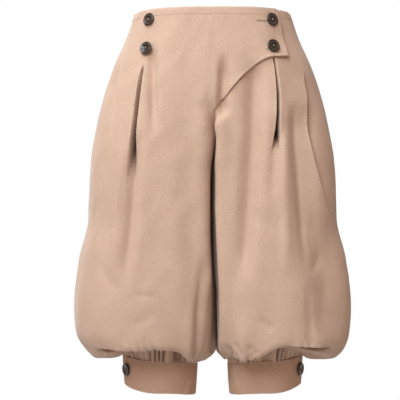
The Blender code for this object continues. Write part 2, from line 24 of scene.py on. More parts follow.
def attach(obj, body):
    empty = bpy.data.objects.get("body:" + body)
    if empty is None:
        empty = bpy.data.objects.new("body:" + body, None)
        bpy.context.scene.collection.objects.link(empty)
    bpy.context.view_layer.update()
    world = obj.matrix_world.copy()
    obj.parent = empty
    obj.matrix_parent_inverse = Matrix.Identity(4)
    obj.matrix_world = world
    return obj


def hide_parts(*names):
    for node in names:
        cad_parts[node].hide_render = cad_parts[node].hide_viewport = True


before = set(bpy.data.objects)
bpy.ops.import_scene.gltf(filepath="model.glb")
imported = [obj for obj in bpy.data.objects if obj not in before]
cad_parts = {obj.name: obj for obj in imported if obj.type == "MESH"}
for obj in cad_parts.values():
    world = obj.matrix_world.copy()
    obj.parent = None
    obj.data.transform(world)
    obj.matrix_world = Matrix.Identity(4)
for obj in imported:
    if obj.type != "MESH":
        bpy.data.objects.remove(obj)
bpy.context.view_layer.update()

log = logging.getLogger("trousers")

Array = np.ndarray
Object, Material = bpy.types.Object, bpy.types.Material
Node, Socket = bpy.types.Node, bpy.types.NodeSocket

# The space at a seam, the cloth's thickness and how far the flap lies off the left front.
SEAM_GAP = 0.0003
HALF_GAP = SEAM_GAP / 2
CLOTH = 0.0013
FLAP_RISE = 0.0017

# Ways down the cloth to the end of the fly, to the crotch and to the panels' lower ends.
FLY_END = 0.172
CROTCH = 0.300
LEG_END = 0.662

# How fine the tables of the smooth form are, and how far a place stays inside their ends.
TABLE_STEP = 0.001
TABLE_SHARES = 480
HALF_RING_POINTS = 260
TABLE_EDGE = 1.001

# Half the width of the groove along a row of stitches, and of the rubbed edge of a hem.
GROOVE = 0.0016
HEM_RUB = 0.0025


class Side(Enum):
    """Whose side of the garment, as the sign of its X."""

    RIGHT = -1
    LEFT = 1


class FoldKind(Enum):
    """How the cloth runs across a long fold."""

    EDGE = "a pressed edge that stands over the cloth beside it"
    PLEAT = "a dark mouth between two lips"
    TROUGH = "a soft hollow"
    RIDGE = "a soft crest"


class Ring(NamedTuple):
    """One ring round a leg: its reach, the heights of its four sides and its shape."""

    down: float
    out: float
    mid: float
    gap: float
    front: float
    back: float
    seam_front: float
    seam_back: float
    z_out: float
    z_in: float
    z_front: float
    z_back: float
    outer: float
    handle: float
    wall: float
    gather: float

    @classmethod
    def level(cls, down: float, *sizes: float) -> Ring:
        """A ring with level sides and no gathers: seven reaches and three shape values."""
        return cls(down, *sizes[:7], *[-down] * 4, *sizes[7:], 0)


LEG_RINGS = [
    Ring.level(0.000, 0.1345, 0.030, 0.0002, 0.1050, 0.1030, 0.1050, 0.1030, 2.10, 0.55, 0.00),
    Ring.level(0.040, 0.1480, 0.036, 0.0002, 0.1090, 0.1100, 0.1090, 0.1100, 2.10, 0.55, 0.00),
    Ring.level(0.090, 0.1700, 0.046, 0.0002, 0.1150, 0.1200, 0.1148, 0.1195, 2.15, 0.55, 0.15),
    Ring.level(0.145, 0.1880, 0.062, 0.0002, 0.1210, 0.1280, 0.1190, 0.1240, 2.20, 0.58, 0.45),
    Ring.level(0.190, 0.1985, 0.078, 0.0003, 0.1250, 0.1310, 0.1040, 0.1150, 2.25, 0.72, 0.80),
    Ring.level(0.245, 0.2080, 0.094, 0.0003, 0.1280, 0.1320, 0.0620, 0.0780, 2.30, 0.84, 0.97),
    Ring.level(0.300, 0.2115, 0.103, 0.0004, 0.1300, 0.1320, 0, 0, 2.30, 0.92, 1.00),
    Ring.level(0.350, 0.2130, 0.107, 0.0004, 0.1310, 0.1320, 0, 0, 2.30, 0.92, 1.00),
    Ring.level(0.420, 0.2290, 0.115, 0.0004, 0.1330, 0.1330, 0, 0, 2.30, 0.92, 1.00),
    Ring(0.500, 0.2370, 0.119, 0.0005, 0.1350, 0.1340, 0, 0,
         -0.500, -0.500, -0.498, -0.499, 2.30, 0.88, 1.00, 0),
    Ring(0.545, 0.2340, 0.118, 0.0006, 0.1350, 0.1335, 0, 0,
         -0.545, -0.543, -0.534, -0.540, 2.30, 0.80, 1.00, 0),
    Ring(0.572, 0.2220, 0.115, 0.0010, 0.1335, 0.1295, 0, 0,
         -0.574, -0.567, -0.554, -0.563, 2.30, 0.72, 1.00, 0.10),
    Ring(0.592, 0.2050, 0.111, 0.0040, 0.1270, 0.1215, 0, 0,
         -0.5855, -0.579, -0.562, -0.573, 2.30, 0.64, 1.00, 0.25),
    Ring(0.612, 0.1860, 0.105, 0.0110, 0.1090, 0.1060, 0, 0,
         -0.5865, -0.586, -0.554, -0.569, 2.25, 0.62, 1.00, 0.60),
    Ring(0.630, 0.1680, 0.097, 0.0180, 0.0890, 0.0910, 0, 0,
         -0.584, -0.590, -0.554, -0.565, 2.20, 0.60, 1.00, 1.00),
    Ring(0.648, 0.1560, 0.091, 0.0235, 0.0750, 0.0760, 0, 0,
         -0.5745, -0.587, -0.566, -0.567, 2.20, 0.60, 1.00, 1.00),
    Ring(0.662, 0.1530, 0.090, 0.0265, 0.0670, 0.0670, 0, 0,
         -0.5785, -0.597, -0.586, -0.584, 2.20, 0.60, 1.00, 0.60),
]
BAND_RINGS = [
    Ring(0.000, 0.1540, 0.0900, 0.0255, 0.0680, 0.0680, 0, 0,
         -0.5785, -0.597, -0.586, -0.584, 2.20, 0.60, 1, 0),
    Ring(0.027, 0.1522, 0.0895, 0.0265, 0.0665, 0.0665, 0, 0,
         -0.604, -0.623, -0.614, -0.611, 2.20, 0.61, 1, 0),
    Ring(0.054, 0.1505, 0.0885, 0.0285, 0.0640, 0.0640, 0, 0,
         -0.629, -0.649, -0.641, -0.638, 2.20, 0.62, 1, 0),
]


def monotone(knots: Sequence[float], values: Sequence[float], at: Array) -> Array:
    """A smooth curve through the knots that never swings past them.

    Args:
        knots: where the curve is given, rising.
        values: what it is there.
        at: where to read it.

    Returns:
        The curve's values.
    """
    knots, values, at = (np.asarray(v, float) for v in (knots, values, at))
    step = np.diff(knots)
    slope = np.diff(values) / step
    tangent = np.zeros(len(knots))
    same = slope[:-1] * slope[1:] > 0
    before = (2 * step[1:] + step[:-1])[same]
    after = (step[1:] + 2 * step[:-1])[same]
    inner = np.zeros(len(slope) - 1)
    inner[same] = (before + after) / (before / slope[:-1][same] + after / slope[1:][same])
    tangent[1:-1] = inner
    tangent[0], tangent[-1] = slope[0], slope[-1]
    i = np.clip(np.searchsorted(knots, at, side="right") - 1, 0, len(step) - 1)
    u = (at - knots[i]) / step[i]
    return (
        values[i] * (1 + 2 * u) * (1 - u) ** 2
        + tangent[i] * step[i] * u * (1 - u) ** 2
        + values[i + 1] * u * u * (3 - 2 * u)
        + tangent[i + 1] * step[i] * u * u * (u - 1)
    )


def smooth(value: Array, start: float, end: float) -> Array:
    """0 before start and 1 past end, with a soft rise between them."""
    u = np.clip((np.asarray(value, float) - start) / (end - start), 0.0, 1.0)
    return u * u * (3 - 2 * u)


def bell(off: Array, width: float) -> Array:
    """1 at 0, falling away softly on both sides."""
    return np.exp(-((off / width) ** 2))


def wave(share: Array, turns: float, phase: float) -> Array:
    """A sine that makes this many turns while the share goes from 0 to 1."""
    return np.sin(2 * math.pi * (turns * share + phase))


def unit(vectors: Array) -> Array:
    """The same directions, each of length 1."""
    return vectors / np.maximum(np.linalg.norm(vectors, axis=-1, keepdims=True), 1e-12)


def between(table: Array, rows: Array, columns: Array) -> Array:
    """Values between a table's entries.

    Args:
        table: rows and columns of points or directions.
        rows: fractional rows.
        columns: fractional columns.

    Returns:
        One value for each place.
    """
    i = np.clip(rows.astype(int), 0, table.shape[0] - 2)
    j = np.clip(columns.astype(int), 0, table.shape[1] - 2)
    u, v = (rows - i)[..., None], (columns - j)[..., None]
    upper = table[i, j] * (1 - v) + table[i, j + 1] * v
    lower = table[i + 1, j] * (1 - v) + table[i + 1, j + 1] * v
    return upper * (1 - u) + lower * u


def even_marks(fine: Array, density: Array, count: int) -> Array:
    """Places along a line, drawn closer together where the density is high."""
    total = np.concatenate([[0], np.cumsum((density[1:] + density[:-1]) / 2)])
    return np.interp(np.linspace(0, total[-1], count), total, fine)


def half_ring(ring: Ring, front: bool) -> Array:
    """Points from a ring's outer side round its front or back to its inner seam.

    Args:
        ring: the ring's sizes.
        front: whether the front half is wanted.

    Returns:
        Points in leg coordinates.
    """
    depth = ring.front if front else ring.back
    seam = ring.seam_front if front else ring.seam_back
    z_face = ring.z_front if front else ring.z_back
    turn = np.linspace(0, math.pi / 2, HALF_RING_POINTS)
    cos, sin = np.clip(np.cos(turn), 0, 1), np.sin(turn)
    outer = np.column_stack([
        ring.mid + (ring.out - ring.mid) * cos ** (2 / ring.outer),
        depth * sin ** (2 / ring.outer),
        ring.z_out * cos**2 + z_face * sin**2,
    ])
    reach = ring.handle * (ring.mid - ring.gap)
    back = ring.handle * (depth - seam)
    pulls = [
        (ring.mid, depth, z_face),
        (ring.mid - reach, depth, z_face),
        (ring.gap + reach * (1 - ring.wall), seam + back * ring.wall, ring.z_in),
        (ring.gap, seam, ring.z_in),
    ]
    u = np.linspace(0, 1, HALF_RING_POINTS)[1:, None]
    weights = [(1 - u) ** 3, 3 * u * (1 - u) ** 2, 3 * u * u * (1 - u), u**3]
    inner = sum(weight * np.array(pull) for weight, pull in zip(weights, pulls))
    return np.concatenate([outer, inner]) * (1, -1 if front else 1, 1)


class LegForm:
    """The smooth form of the front or back of a leg or band, as a table to read."""

    def __init__(self, rings: Sequence[Ring], front: bool) -> None:
        """Work the table out from the rings.

        Args:
            rings: the rings, from the top down.
            front: whether this is the front half.
        """
        self.downs = np.arange(0, rings[-1].down + TABLE_STEP / 2, TABLE_STEP)
        knots = [ring.down for ring in rings]
        columns = [monotone(knots, column, self.downs) for column in zip(*rings)]
        table = [Ring(*values) for values in zip(*columns)]
        self.outs = np.array([ring.out for ring in table])
        self.gathers = np.array([ring.gather for ring in table])
        self.gaps = np.array([ring.gap for ring in table])
        lines = np.array([half_ring(ring, front) for ring in table])
        steps = np.linalg.norm(np.diff(lines, axis=1), axis=2)
        ways = np.concatenate([np.zeros((len(lines), 1)), np.cumsum(steps, axis=1)], axis=1)
        self.lengths = ways[:, -1]
        self.shares = np.linspace(0, 1, TABLE_SHARES)
        self.points = np.array([
            np.column_stack([np.interp(self.shares * way[-1], way, line[:, i]) for i in range(3)])
            for line, way in zip(lines, ways)
        ])
        around = np.gradient(self.points, axis=1)
        fall = np.gradient(self.points, axis=0)
        self.outwards = unit(np.cross(around, fall) if front else np.cross(fall, around))

    def length(self, down: Array) -> Array:
        """The ring's length from its outer side to its inner seam."""
        return np.interp(down, self.downs, self.lengths)

    def read(self, table: Array, down: Array, way: Array) -> Array:
        """Values of one of the tables at places on the cloth.

        Args:
            table: points or outwards.
            down: ways down the cloth.
            way: ways round the ring from its outer side.

        Returns:
            One value for each place.
        """
        row = np.clip(down / TABLE_STEP, 0, len(self.downs) - TABLE_EDGE)
        column = np.clip(way / self.length(down), 0, 1) * (TABLE_SHARES - TABLE_EDGE)
        return between(table, row, column)

    def way_on_row(self, row: int, x: float) -> float:
        """The way round one row of the table to where it is x from the centre."""
        return float(np.interp(-x, -self.points[row, :, 0], self.shares) * self.lengths[row])

    def way_at_x(self, down: float, x: float) -> float:
        """The way round the ring at any way down to where it is x from the centre."""
        row = min(int(down / TABLE_STEP), len(self.downs) - 2)
        share = down / TABLE_STEP - row
        return (1 - share) * self.way_on_row(row, x) + share * self.way_on_row(row + 1, x)


class Peak(NamedTuple):
    """A soft peak: how high it is, and how far it reaches on each side."""

    height: float
    reach: float

    def over(self, off: Array) -> Array:
        """Its height this far off its middle."""
        return self.height * bell(off, self.reach)


@dataclass(frozen=True)
class Fold:
    """A long fold: where it starts, is full, fades and ends, its line and its size.

    A pleat's pressed lip is -1 on the leg's outer side and 1 on the inner one.
    """

    kind: FoldKind
    top: float
    full: float
    fading: float
    foot: float
    x_top: float
    x_middle: float
    x_foot: float
    width: float
    depth: float
    pressed_lip: int = 0

    EDGE_WIDTH = 0.0045
    EDGE_PROUD = 0.25
    LIP_REACH = 0.011
    LIP_PRESSED = 0.17
    LIP_SOFT = 0.05
    MOUTH_AT_TOP = 0.65
    MOUTH_FLOOR = 0.60
    OPENING = 0.0040

    def share(self, down: Array) -> Array:
        """How much of the fold there is at this way down, from 0 to 1."""
        return smooth(down, self.top, self.full) * (1 - smooth(down, self.fading, self.foot))

    def line(self, form: LegForm) -> Array:
        """The way to the fold's line, a curve through its three places, on each table row."""
        known = np.clip(form.downs, self.top, self.foot)
        u = (known - self.top) / (self.foot - self.top)
        x = self.x_top * (1 - u) * (1 - 2 * u) + self.x_foot * u * (2 * u - 1)
        x += self.x_middle * 4 * u * (1 - u)
        x = x * form.outs / np.interp(known, form.downs, form.outs)
        return np.array([form.way_on_row(row, out) for row, out in enumerate(x)])

    def half_mouth(self, down: Array) -> Array:
        """Half the width of a pleat's mouth."""
        grown = self.MOUTH_AT_TOP + (1 - self.MOUTH_AT_TOP) * smooth(down, self.top, self.fading)
        return self.width / 2 * grown + self.OPENING * smooth(down, self.fading, self.foot)

    def push(self, off: Array, down: Array) -> Array:
        """How far the cloth stands out, off to one side of the line.

        Args:
            off: ways from the fold's line, below 0 on the leg's outer side.
            down: ways down the cloth.

        Returns:
            Distances out of the smooth form.
        """
        if self.kind is FoldKind.TROUGH:
            shape = -bell(off, self.width)
        elif self.kind is FoldKind.RIDGE:
            shape = bell(off, self.width)
        elif self.kind is FoldKind.EDGE:
            up = smooth(off, -self.EDGE_WIDTH / 2, self.EDGE_WIDTH / 2)
            proud = self.EDGE_PROUD * np.exp(-np.maximum(off, 0) / self.width)
            sunk = np.exp(np.minimum(off, 0) / self.width)
            shape = up * proud - (1 - up) * sunk
        else:
            half = self.half_mouth(down)
            mouth = 1 - smooth(np.abs(off) / half, self.MOUTH_FLOOR, 1.0)
            reach = np.exp(-np.maximum(np.abs(off) - half, 0) / self.LIP_REACH)
            lip = np.where(off * self.pressed_lip > 0, self.LIP_PRESSED, self.LIP_SOFT)
            shape = lip * reach * (1 - mouth) - mouth
        return self.share(down) * self.depth * shape


@dataclass(frozen=True)
class Crease:
    """A short soft crease between two places, each x out and a way down."""

    x_start: float
    down_start: float
    x_end: float
    down_end: float
    width: float
    depth: float

    FULL_SHARE = 0.35
    END_SHARE = 1.1

    def push(self, form: LegForm, down: Array, way: Array) -> Array:
        """How far the cloth stands out: depth is below 0 for a hollow.

        Args:
            form: the form that the crease lies on.
            down: ways down the cloth.
            way: ways round the ring.

        Returns:
            Distances out of the smooth form.
        """
        start = np.array([form.way_at_x(self.down_start, self.x_start), self.down_start])
        end = np.array([form.way_at_x(self.down_end, self.x_end), self.down_end])
        run = end - start
        length = np.linalg.norm(run)
        along = ((way - start[0]) * run[0] + (down - start[1]) * run[1]) / length
        across = ((way - start[0]) * run[1] - (down - start[1]) * run[0]) / length
        beyond = np.abs(along - length / 2) / (length / 2)
        fade = 1 - smooth(beyond, self.FULL_SHARE, self.END_SHARE)
        return self.depth * bell(across, self.width) * fade


@dataclass(frozen=True)
class Tuck:
    """A deep crease that runs round the foot of a leg, under the lip that hangs over it."""

    xs: tuple[float, ...]
    downs: tuple[float, ...]
    depths: tuple[float, ...]

    LIP_WIDTH = 0.0018
    UNDER_WIDTH = 0.0070
    PROUD = 0.0030
    PROUD_REACH = 0.012

    def push(self, x: Array, down: Array) -> Array:
        """How far the cloth stands out.

        Args:
            x: how far the places lie from the centre plane.
            down: their ways down the cloth.

        Returns:
            Distances out of the smooth form.
        """
        off = down - np.interp(x, self.xs, self.downs)
        depth = np.interp(x, self.xs, self.depths)
        share = depth / max(self.depths)
        hollow = np.where(off < 0, bell(off, self.LIP_WIDTH), bell(off, self.UNDER_WIDTH))
        lip = np.exp(np.minimum(off, 0) / self.PROUD_REACH) * smooth(-off, 0, 2 * self.LIP_WIDTH)
        return share * self.PROUD * lip - depth * hollow


@dataclass(frozen=True)
class Sag:
    """A place where the cloth hangs lower than the smooth form, or higher."""

    x: float
    down: float
    x_width: float
    down_width: float
    drop: float

    def fall(self, x: Array, down: Array) -> Array:
        """How far the cloth falls at these places."""
        return self.drop * bell(x - self.x, self.x_width) * bell(down - self.down, self.down_width)


@dataclass(frozen=True)
class Gathers:
    """The gathers above a knee band: how many on a panel, how deep and how uneven."""

    count: float
    phase: float
    depth: float = 0.0066

    SLANT = 1.4
    SLANT_RISE = 0.09
    SLANT_TURNS = 1.7
    SWAY = 0.60
    WARP_TURNS = 2.3
    FINE_WARP = 0.6
    FINE_TURNS = 5.1
    FINE_DRIFT = 2.1
    FINE_PHASE = 0.2
    CREST_POWER = 1.4
    UNEVEN = 0.38
    UNEVEN_TURNS = 3.7
    UNEVEN_PHASE = 0.3
    CALM_FROM = 0.74
    CALM_TO = 0.92
    CALM_SHARE = 0.85

    def push(self, form: LegForm, down: Array, share: Array) -> Array:
        """How far the cloth stands out in the gathers.

        Args:
            form: the leg's form, whose rings say how full the gathers are.
            down: ways down the cloth.
            share: shares of the ring's length from its outer side.

        Returns:
            Distances out of the smooth form.
        """
        high = (LEG_END - down) / self.SLANT_RISE
        slant = self.SLANT * high * wave(share, self.SLANT_TURNS, self.phase)
        fine_phase = self.FINE_DRIFT * self.phase + self.FINE_PHASE
        warp = wave(share, self.WARP_TURNS, self.phase)
        warp = warp + self.FINE_WARP * wave(share, self.FINE_TURNS, fine_phase)
        turn = 2 * math.pi * (self.count * share + self.SWAY * warp) + slant
        crests = 2 * np.abs(np.cos(turn / 2)) ** self.CREST_POWER - 1
        rise = wave(share, self.UNEVEN_TURNS, self.phase + self.UNEVEN_PHASE)
        uneven = 1 - self.UNEVEN + self.UNEVEN * rise
        calm = 1 - self.CALM_SHARE * smooth(share, self.CALM_FROM, self.CALM_TO)
        full = np.interp(down, form.downs, form.gathers)
        return self.depth * full * uneven * calm * crests


@dataclass(frozen=True)
class Ripple:
    """The slight unevenness that hanging cloth keeps everywhere."""

    phase: float
    depth: float = 0.00055

    # The lengths of each wave round and down the leg and of its sway, and how much it sways.
    SLOW, SLOW_BEND, SLOW_SWAY = 0.071, 0.23, 0.9
    SLANT, SLANT_DOWN, SLANT_BEND, SLANT_SWAY = 0.046, 0.19, 0.11, 1.3
    SHORT, SHORT_DOWN, SHORT_BEND, SHORT_TURN, SHORT_SWAY = 0.021, 0.067, 0.05, 0.13, 1.7
    PATCH_DOWN, PATCH_BEND, PATCH_SWAY = 0.163, 0.19, 2.0
    SLANT_SHARE, SHORT_SHARE = 0.8, 0.28

    def push(self, down: Array, way: Array) -> Array:
        """How far the cloth stands out.

        Args:
            down: ways down the cloth.
            way: ways round the ring.

        Returns:
            Distances out of the smooth form.
        """
        a, b = down * 2 * math.pi, way * 2 * math.pi
        bend = self.SLOW_SWAY * np.sin(a / self.SLOW_BEND + self.phase)
        slow = np.sin(b / self.SLOW + bend + 3 * self.phase)
        bend = self.SLANT_SWAY * np.sin(a / self.SLANT_BEND)
        slant = np.sin(b / self.SLANT + a / self.SLANT_DOWN + bend + self.phase)
        bend = self.SHORT_SWAY * np.sin(a / self.SHORT_BEND + b / self.SHORT_TURN + self.phase)
        short = np.sin(b / self.SHORT - a / self.SHORT_DOWN + bend)
        bend = self.PATCH_SWAY * np.sin(b / self.PATCH_BEND)
        patch = 0.5 + 0.5 * np.sin(a / self.PATCH_DOWN + bend + 2 * self.phase)
        return self.depth * (slow + self.SLANT_SHARE * slant * patch + self.SHORT_SHARE * short * patch)


class Legs:
    """How both legs lean together: towards the wearer's left, lower down."""

    DOWNS = (0.000, 0.185, 0.218, 0.262, 0.314, 0.361, 0.415, 0.480, 0.560, 0.620, 0.662)
    SHIFTS = (0.0, 0.0, 0.0030, 0.0, 0.0, 0.0004, 0.0022, 0.0055, 0.0060, 0.0030, 0.0)
    REACH = 0.105
    WAVE = 0.0024
    WAVE_LENGTH = 0.085
    WAVE_REACH = 0.035
    WAVE_START_Y = -0.125
    WAVE_FROM = 0.150
    WAVE_FULL = 0.185

    @classmethod
    def to_side(cls, points: Array, down: Array, side: Side) -> Array:
        """Put points from leg coordinates on their own side of the garment.

        Args:
            points: points of a leg worked out at +X.
            down: their ways down the cloth.
            side: the side that they go to.

        Returns:
            Points in the row frame.
        """
        lean = monotone(cls.DOWNS, cls.SHIFTS, down) * (1 - smooth(points[..., 0], 0, cls.REACH))
        turn = 2 * math.pi * (points[..., 1] - cls.WAVE_START_Y) / cls.WAVE_LENGTH
        bend = cls.WAVE * np.sin(turn) * (1 - smooth(points[..., 0], 0, cls.WAVE_REACH))
        moved = points * (side.value, 1, 1)
        moved[..., 0] += lean + bend * smooth(down, cls.WAVE_FROM, cls.WAVE_FULL)
        return moved


class ClothGrid:
    """A grid of points on finished cloth, to walk over and to sew on."""

    def __init__(self, points: Array, negate: bool) -> None:
        """Keep the grid and work out the directions straight out of the cloth.

        Args:
            points: rows of points down the cloth.
            negate: whether the columns run the other way round.
        """
        self.points = points
        across, fall = np.gradient(points, axis=1), np.gradient(points, axis=0)
        self.outwards = unit(np.cross(across, fall)) * (-1 if negate else 1)

    def place(self, rows: Array, columns: Array) -> tuple[Array, Array]:
        """Points on the cloth and the directions straight out of it there."""
        return between(self.points, rows, columns), unit(between(self.outwards, rows, columns))

    def walk(self, rows: Array, columns: Array, pitch: float) -> tuple[Array, Array]:
        """Even steps along a line over the cloth.

        Args:
            rows: the line's rows, at many points.
            columns: its columns there.
            pitch: the step's length.

        Returns:
            The steps' places and the directions straight out of the cloth there.
        """
        line = between(self.points, rows, columns)
        way = np.concatenate([[0], np.cumsum(np.linalg.norm(np.diff(line, axis=0), axis=1))])
        marks = np.linspace(0, way[-1], max(2, int(round(way[-1] / pitch)) + 1))
        return self.place(np.interp(marks, way, rows), np.interp(marks, way, columns))


def grid_faces(rows: int, columns: int, flip: bool, start: int = 0,
               closed: bool = False) -> list[list[int]]:
    """Corner numbers of the faces between a grid's points, row after row.

    Args:
        rows: how many rows the grid has.
        columns: how many points a row has.
        flip: whether the faces look the other way.
        start: the number of the grid's first point.
        closed: whether each row runs on to its own start.

    Returns:
        Four corners for each face.
    """
    first = start + np.arange(rows * columns).reshape(rows, columns)
    if closed:
        first = np.column_stack([first, first[:, 0]])
    corners = [first[:-1, :-1], first[1:, :-1], first[1:, 1:], first[:-1, 1:]]
    if flip:
        corners = corners[::-1]
    return np.stack([corner.ravel() for corner in corners], axis=1).tolist()


def linked(name: str, data: bpy.types.ID) -> Object:
    """An object with this data, in the scene."""
    made = bpy.data.objects.new(name, data)
    bpy.context.scene.collection.objects.link(made)
    return made


def mesh_object(name: str, points: Array, faces: Sequence, uvs: Array | None = None,
                wear_and_painted_light: Array | None = None) -> Object:
    """A smooth-shaded mesh object.

    Args:
        name: the piece's name.
        points: its vertices.
        faces: its faces' corners.
        uvs: the place of each vertex on the flat cloth, in metres.
        wear_and_painted_light: how rubbed each vertex is, from 0 to 1, or below 0 where shade is
            painted into a fold.

    Returns:
        The object, linked to the scene.
    """
    data = bpy.data.meshes.new(name)
    data.from_pydata(points.tolist(), [], faces)
    if uvs is not None:
        layer = data.uv_layers.new(name="Cloth")
        corners = np.empty(len(data.loops), np.int32)
        data.loops.foreach_get("vertex_index", corners)
        layer.uv.foreach_set("vector", uvs[corners].astype(np.float32).ravel())
    if wear_and_painted_light is not None:
        # Rubbed wear above 0, and shade painted into folds below 0.
        layer = data.attributes.new("wear_and_painted_light", "FLOAT", "POINT")
        layer.data.foreach_set("value", wear_and_painted_light.astype(np.float32))
    data.shade_smooth()
    return linked(name, data)


def settle(piece: Object, slot: str, *materials: Material) -> None:
    """Give a piece its materials and its body, and report it.

    Args:
        piece: the finished piece.
        slot: not used.
        materials: its materials, in order.
    """
    for material in materials:
        piece.data.materials.append(material)
    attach(piece, "root")
    log.info("%s: %d faces", piece.name, len(piece.data.polygons))


class NodeChain:
    """Adds nodes to a tree and joins them up."""

    def __init__(self, tree: bpy.types.NodeTree) -> None:
        """Work in this tree."""
        self.tree = tree

    def feed(self, socket: Socket, value) -> None:
        """Join a socket to another, or set it."""
        if isinstance(value, Socket):
            self.tree.links.new(value, socket)
        else:
            socket.default_value = value

    def add(self, kind: str, sockets: dict | None = None, **properties) -> Node:
        """A node, with its properties set and its inputs fed.

        Args:
            kind: the node's type.
            sockets: what feeds each input, by name or number.
            properties: the node's own properties.

        Returns:
            The node.
        """
        node = self.tree.nodes.new(kind)
        for name, value in properties.items():
            setattr(node, name, value)
        for key, value in (sockets or {}).items():
            self.feed(node.inputs[key], value)
        return node

    def math(self, operation: str, *inputs, clamp: bool = False) -> Socket:
        """The result of one Math node."""
        sockets = dict(enumerate(inputs))
        return self.add("ShaderNodeMath", sockets, operation=operation, use_clamp=clamp).outputs[0]

    def mix(self, factor, first, second) -> Socket:
        """Two colours, mixed."""
        sockets = {0: factor, 6: first, 7: second}
        return self.add("ShaderNodeMix", sockets, data_type="RGBA").outputs[2]

    def noise(self, vector, scale, detail: float = 3.0, rough: float = 0.55) -> Socket:
        """The value of a Noise texture."""
        sockets = {"Vector": vector, "Scale": scale, "Detail": detail, "Roughness": rough}
        return self.add("ShaderNodeTexNoise", sockets).outputs["Fac"]

    def stretch(self, value, low: float, high: float) -> Socket:
        """0 at low and 1 at high, kept between them."""
        sockets = {"Value": value, "From Min": low, "From Max": high}
        return self.add("ShaderNodeMapRange", sockets).outputs[0]

    def bump(self, height, distance: float, strength: float = 1.0, normal=None) -> Socket:
        """The normal of a Bump node."""
        sockets = {"Height": height, "Distance": distance, "Strength": strength}
        if normal:
            sockets["Normal"] = normal
        return self.add("ShaderNodeBump", sockets).outputs["Normal"]


class EffectGroup:
    """A shader node group with named inputs and outputs, built once."""

    name = ""
    inputs: dict[str, float | None] = {}
    outputs: tuple[str, ...] = ()

    @classmethod
    def put(cls, chain: NodeChain, **values) -> Node:
        """The group in a material, with its own values.

        Args:
            chain: adds nodes to the material's tree.
            values: what feeds each input, with underscores for spaces.

        Returns:
            The group's node.
        """
        tree = bpy.data.node_groups.get(cls.name) or cls.built()
        node = chain.add("ShaderNodeGroup", node_tree=tree)
        for name, value in values.items():
            chain.feed(node.inputs[name.replace("_", " ")], value)
        return node

    @classmethod
    def built(cls) -> bpy.types.NodeTree:
        """The new group: an input without a number of its own is a place on the cloth."""
        tree = bpy.data.node_groups.new(cls.name, "ShaderNodeTree")
        for name, default in cls.inputs.items():
            kind = "NodeSocketVector" if default is None else "NodeSocketFloat"
            socket = tree.interface.new_socket(name=name, in_out="INPUT", socket_type=kind)
            if default is not None:
                socket.default_value = default
        for name in cls.outputs:
            tree.interface.new_socket(name=name, in_out="OUTPUT", socket_type="NodeSocketFloat")
        given = tree.nodes.new("NodeGroupInput").outputs
        made = tree.nodes.new("NodeGroupOutput").inputs
        for name, value in cls.wired(NodeChain(tree), given).items():
            tree.links.new(value, made[name])
        return tree

    @classmethod
    def wired(cls, chain: NodeChain, given) -> dict[str, Socket]:
        """What feeds each of the group's outputs."""
        raise NotImplementedError


class TwillWeave(EffectGroup):
    """Twill: fine diagonal ribs, crossed by the threads of the weft."""

    name = "Twill weave"
    inputs = {"Cloth": None, "Ribs per metre": 900.0}
    outputs = ("Height",)

    WOBBLE_SCALE = 220.0
    WOBBLE = 0.0012
    WEFT_PER_RIB = 0.8
    RIB_HEIGHT = 0.35
    WEFT_HEIGHT = 0.15

    @classmethod
    def wired(cls, chain: NodeChain, given) -> dict[str, Socket]:
        """What feeds each of the group's outputs."""
        split = chain.add("ShaderNodeSeparateXYZ", {0: given["Cloth"]}).outputs
        uneven = chain.noise(given["Cloth"], cls.WOBBLE_SCALE, detail=2.0)
        wobble = chain.math("MULTIPLY", uneven, cls.WOBBLE)
        slant = chain.math("ADD", chain.math("ADD", split[0], split[1]), wobble)
        turn = chain.math("MULTIPLY", given["Ribs per metre"], 2 * math.pi)
        rib = chain.math("SINE", chain.math("MULTIPLY", slant, turn))
        across = chain.math("SUBTRACT", split[0], split[1])
        weft_turn = chain.math("MULTIPLY", turn, cls.WEFT_PER_RIB)
        weft = chain.math("SINE", chain.math("MULTIPLY", across, weft_turn))
        threads = chain.math("MULTIPLY", weft, cls.WEFT_HEIGHT)
        both = chain.math("MULTIPLY_ADD", rib, cls.RIB_HEIGHT, threads)
        return {"Height": chain.math("ADD", both, cls.RIB_HEIGHT + cls.WEFT_HEIGHT)}


class BrushedNap(EffectGroup):
    """A brushed face: fine fibres and broad clouds where the nap lies another way."""

    name = "Brushed nap"
    inputs = {"Cloth": None, "Fibre scale": 900.0, "Cloud scale": 26.0}
    outputs = ("Fibres", "Clouds", "Flecks")

    CLOUD_RANGE = (0.34, 0.66)
    FLECK_RANGE = (0.36, 0.64)
    FLECKS_PER_FIBRE = 0.4

    @classmethod
    def wired(cls, chain: NodeChain, given) -> dict[str, Socket]:
        """What feeds each of the group's outputs."""
        clouds = chain.noise(given["Cloth"], given["Cloud scale"], detail=4.0, rough=0.6)
        fleck_scale = chain.math("MULTIPLY", given["Fibre scale"], cls.FLECKS_PER_FIBRE)
        flecks = chain.noise(given["Cloth"], fleck_scale, detail=2.0, rough=0.8)
        return {
            "Fibres": chain.noise(given["Cloth"], given["Fibre scale"], detail=4.0, rough=0.65),
            "Clouds": chain.stretch(clouds, *cls.CLOUD_RANGE),
            "Flecks": chain.stretch(flecks, *cls.FLECK_RANGE),
        }


class WornEdge(EffectGroup):
    """Edges rubbed paler in washing, broken up so that no edge is an even line."""

    name = "Worn edge"
    inputs = {"Cloth": None, "Worn": 0.0, "Break-up scale": 160.0}
    outputs = ("Mask",)

    CONTRAST = 1.5
    LEVEL = -0.25

    @classmethod
    def wired(cls, chain: NodeChain, given) -> dict[str, Socket]:
        """What feeds each of the group's outputs."""
        broken = chain.noise(given["Cloth"], given["Break-up scale"], detail=3.0, rough=0.7)
        broken = chain.math("MULTIPLY_ADD", broken, cls.CONTRAST, cls.LEVEL)
        return {"Mask": chain.math("MULTIPLY", given["Worn"], broken, clamp=True)}


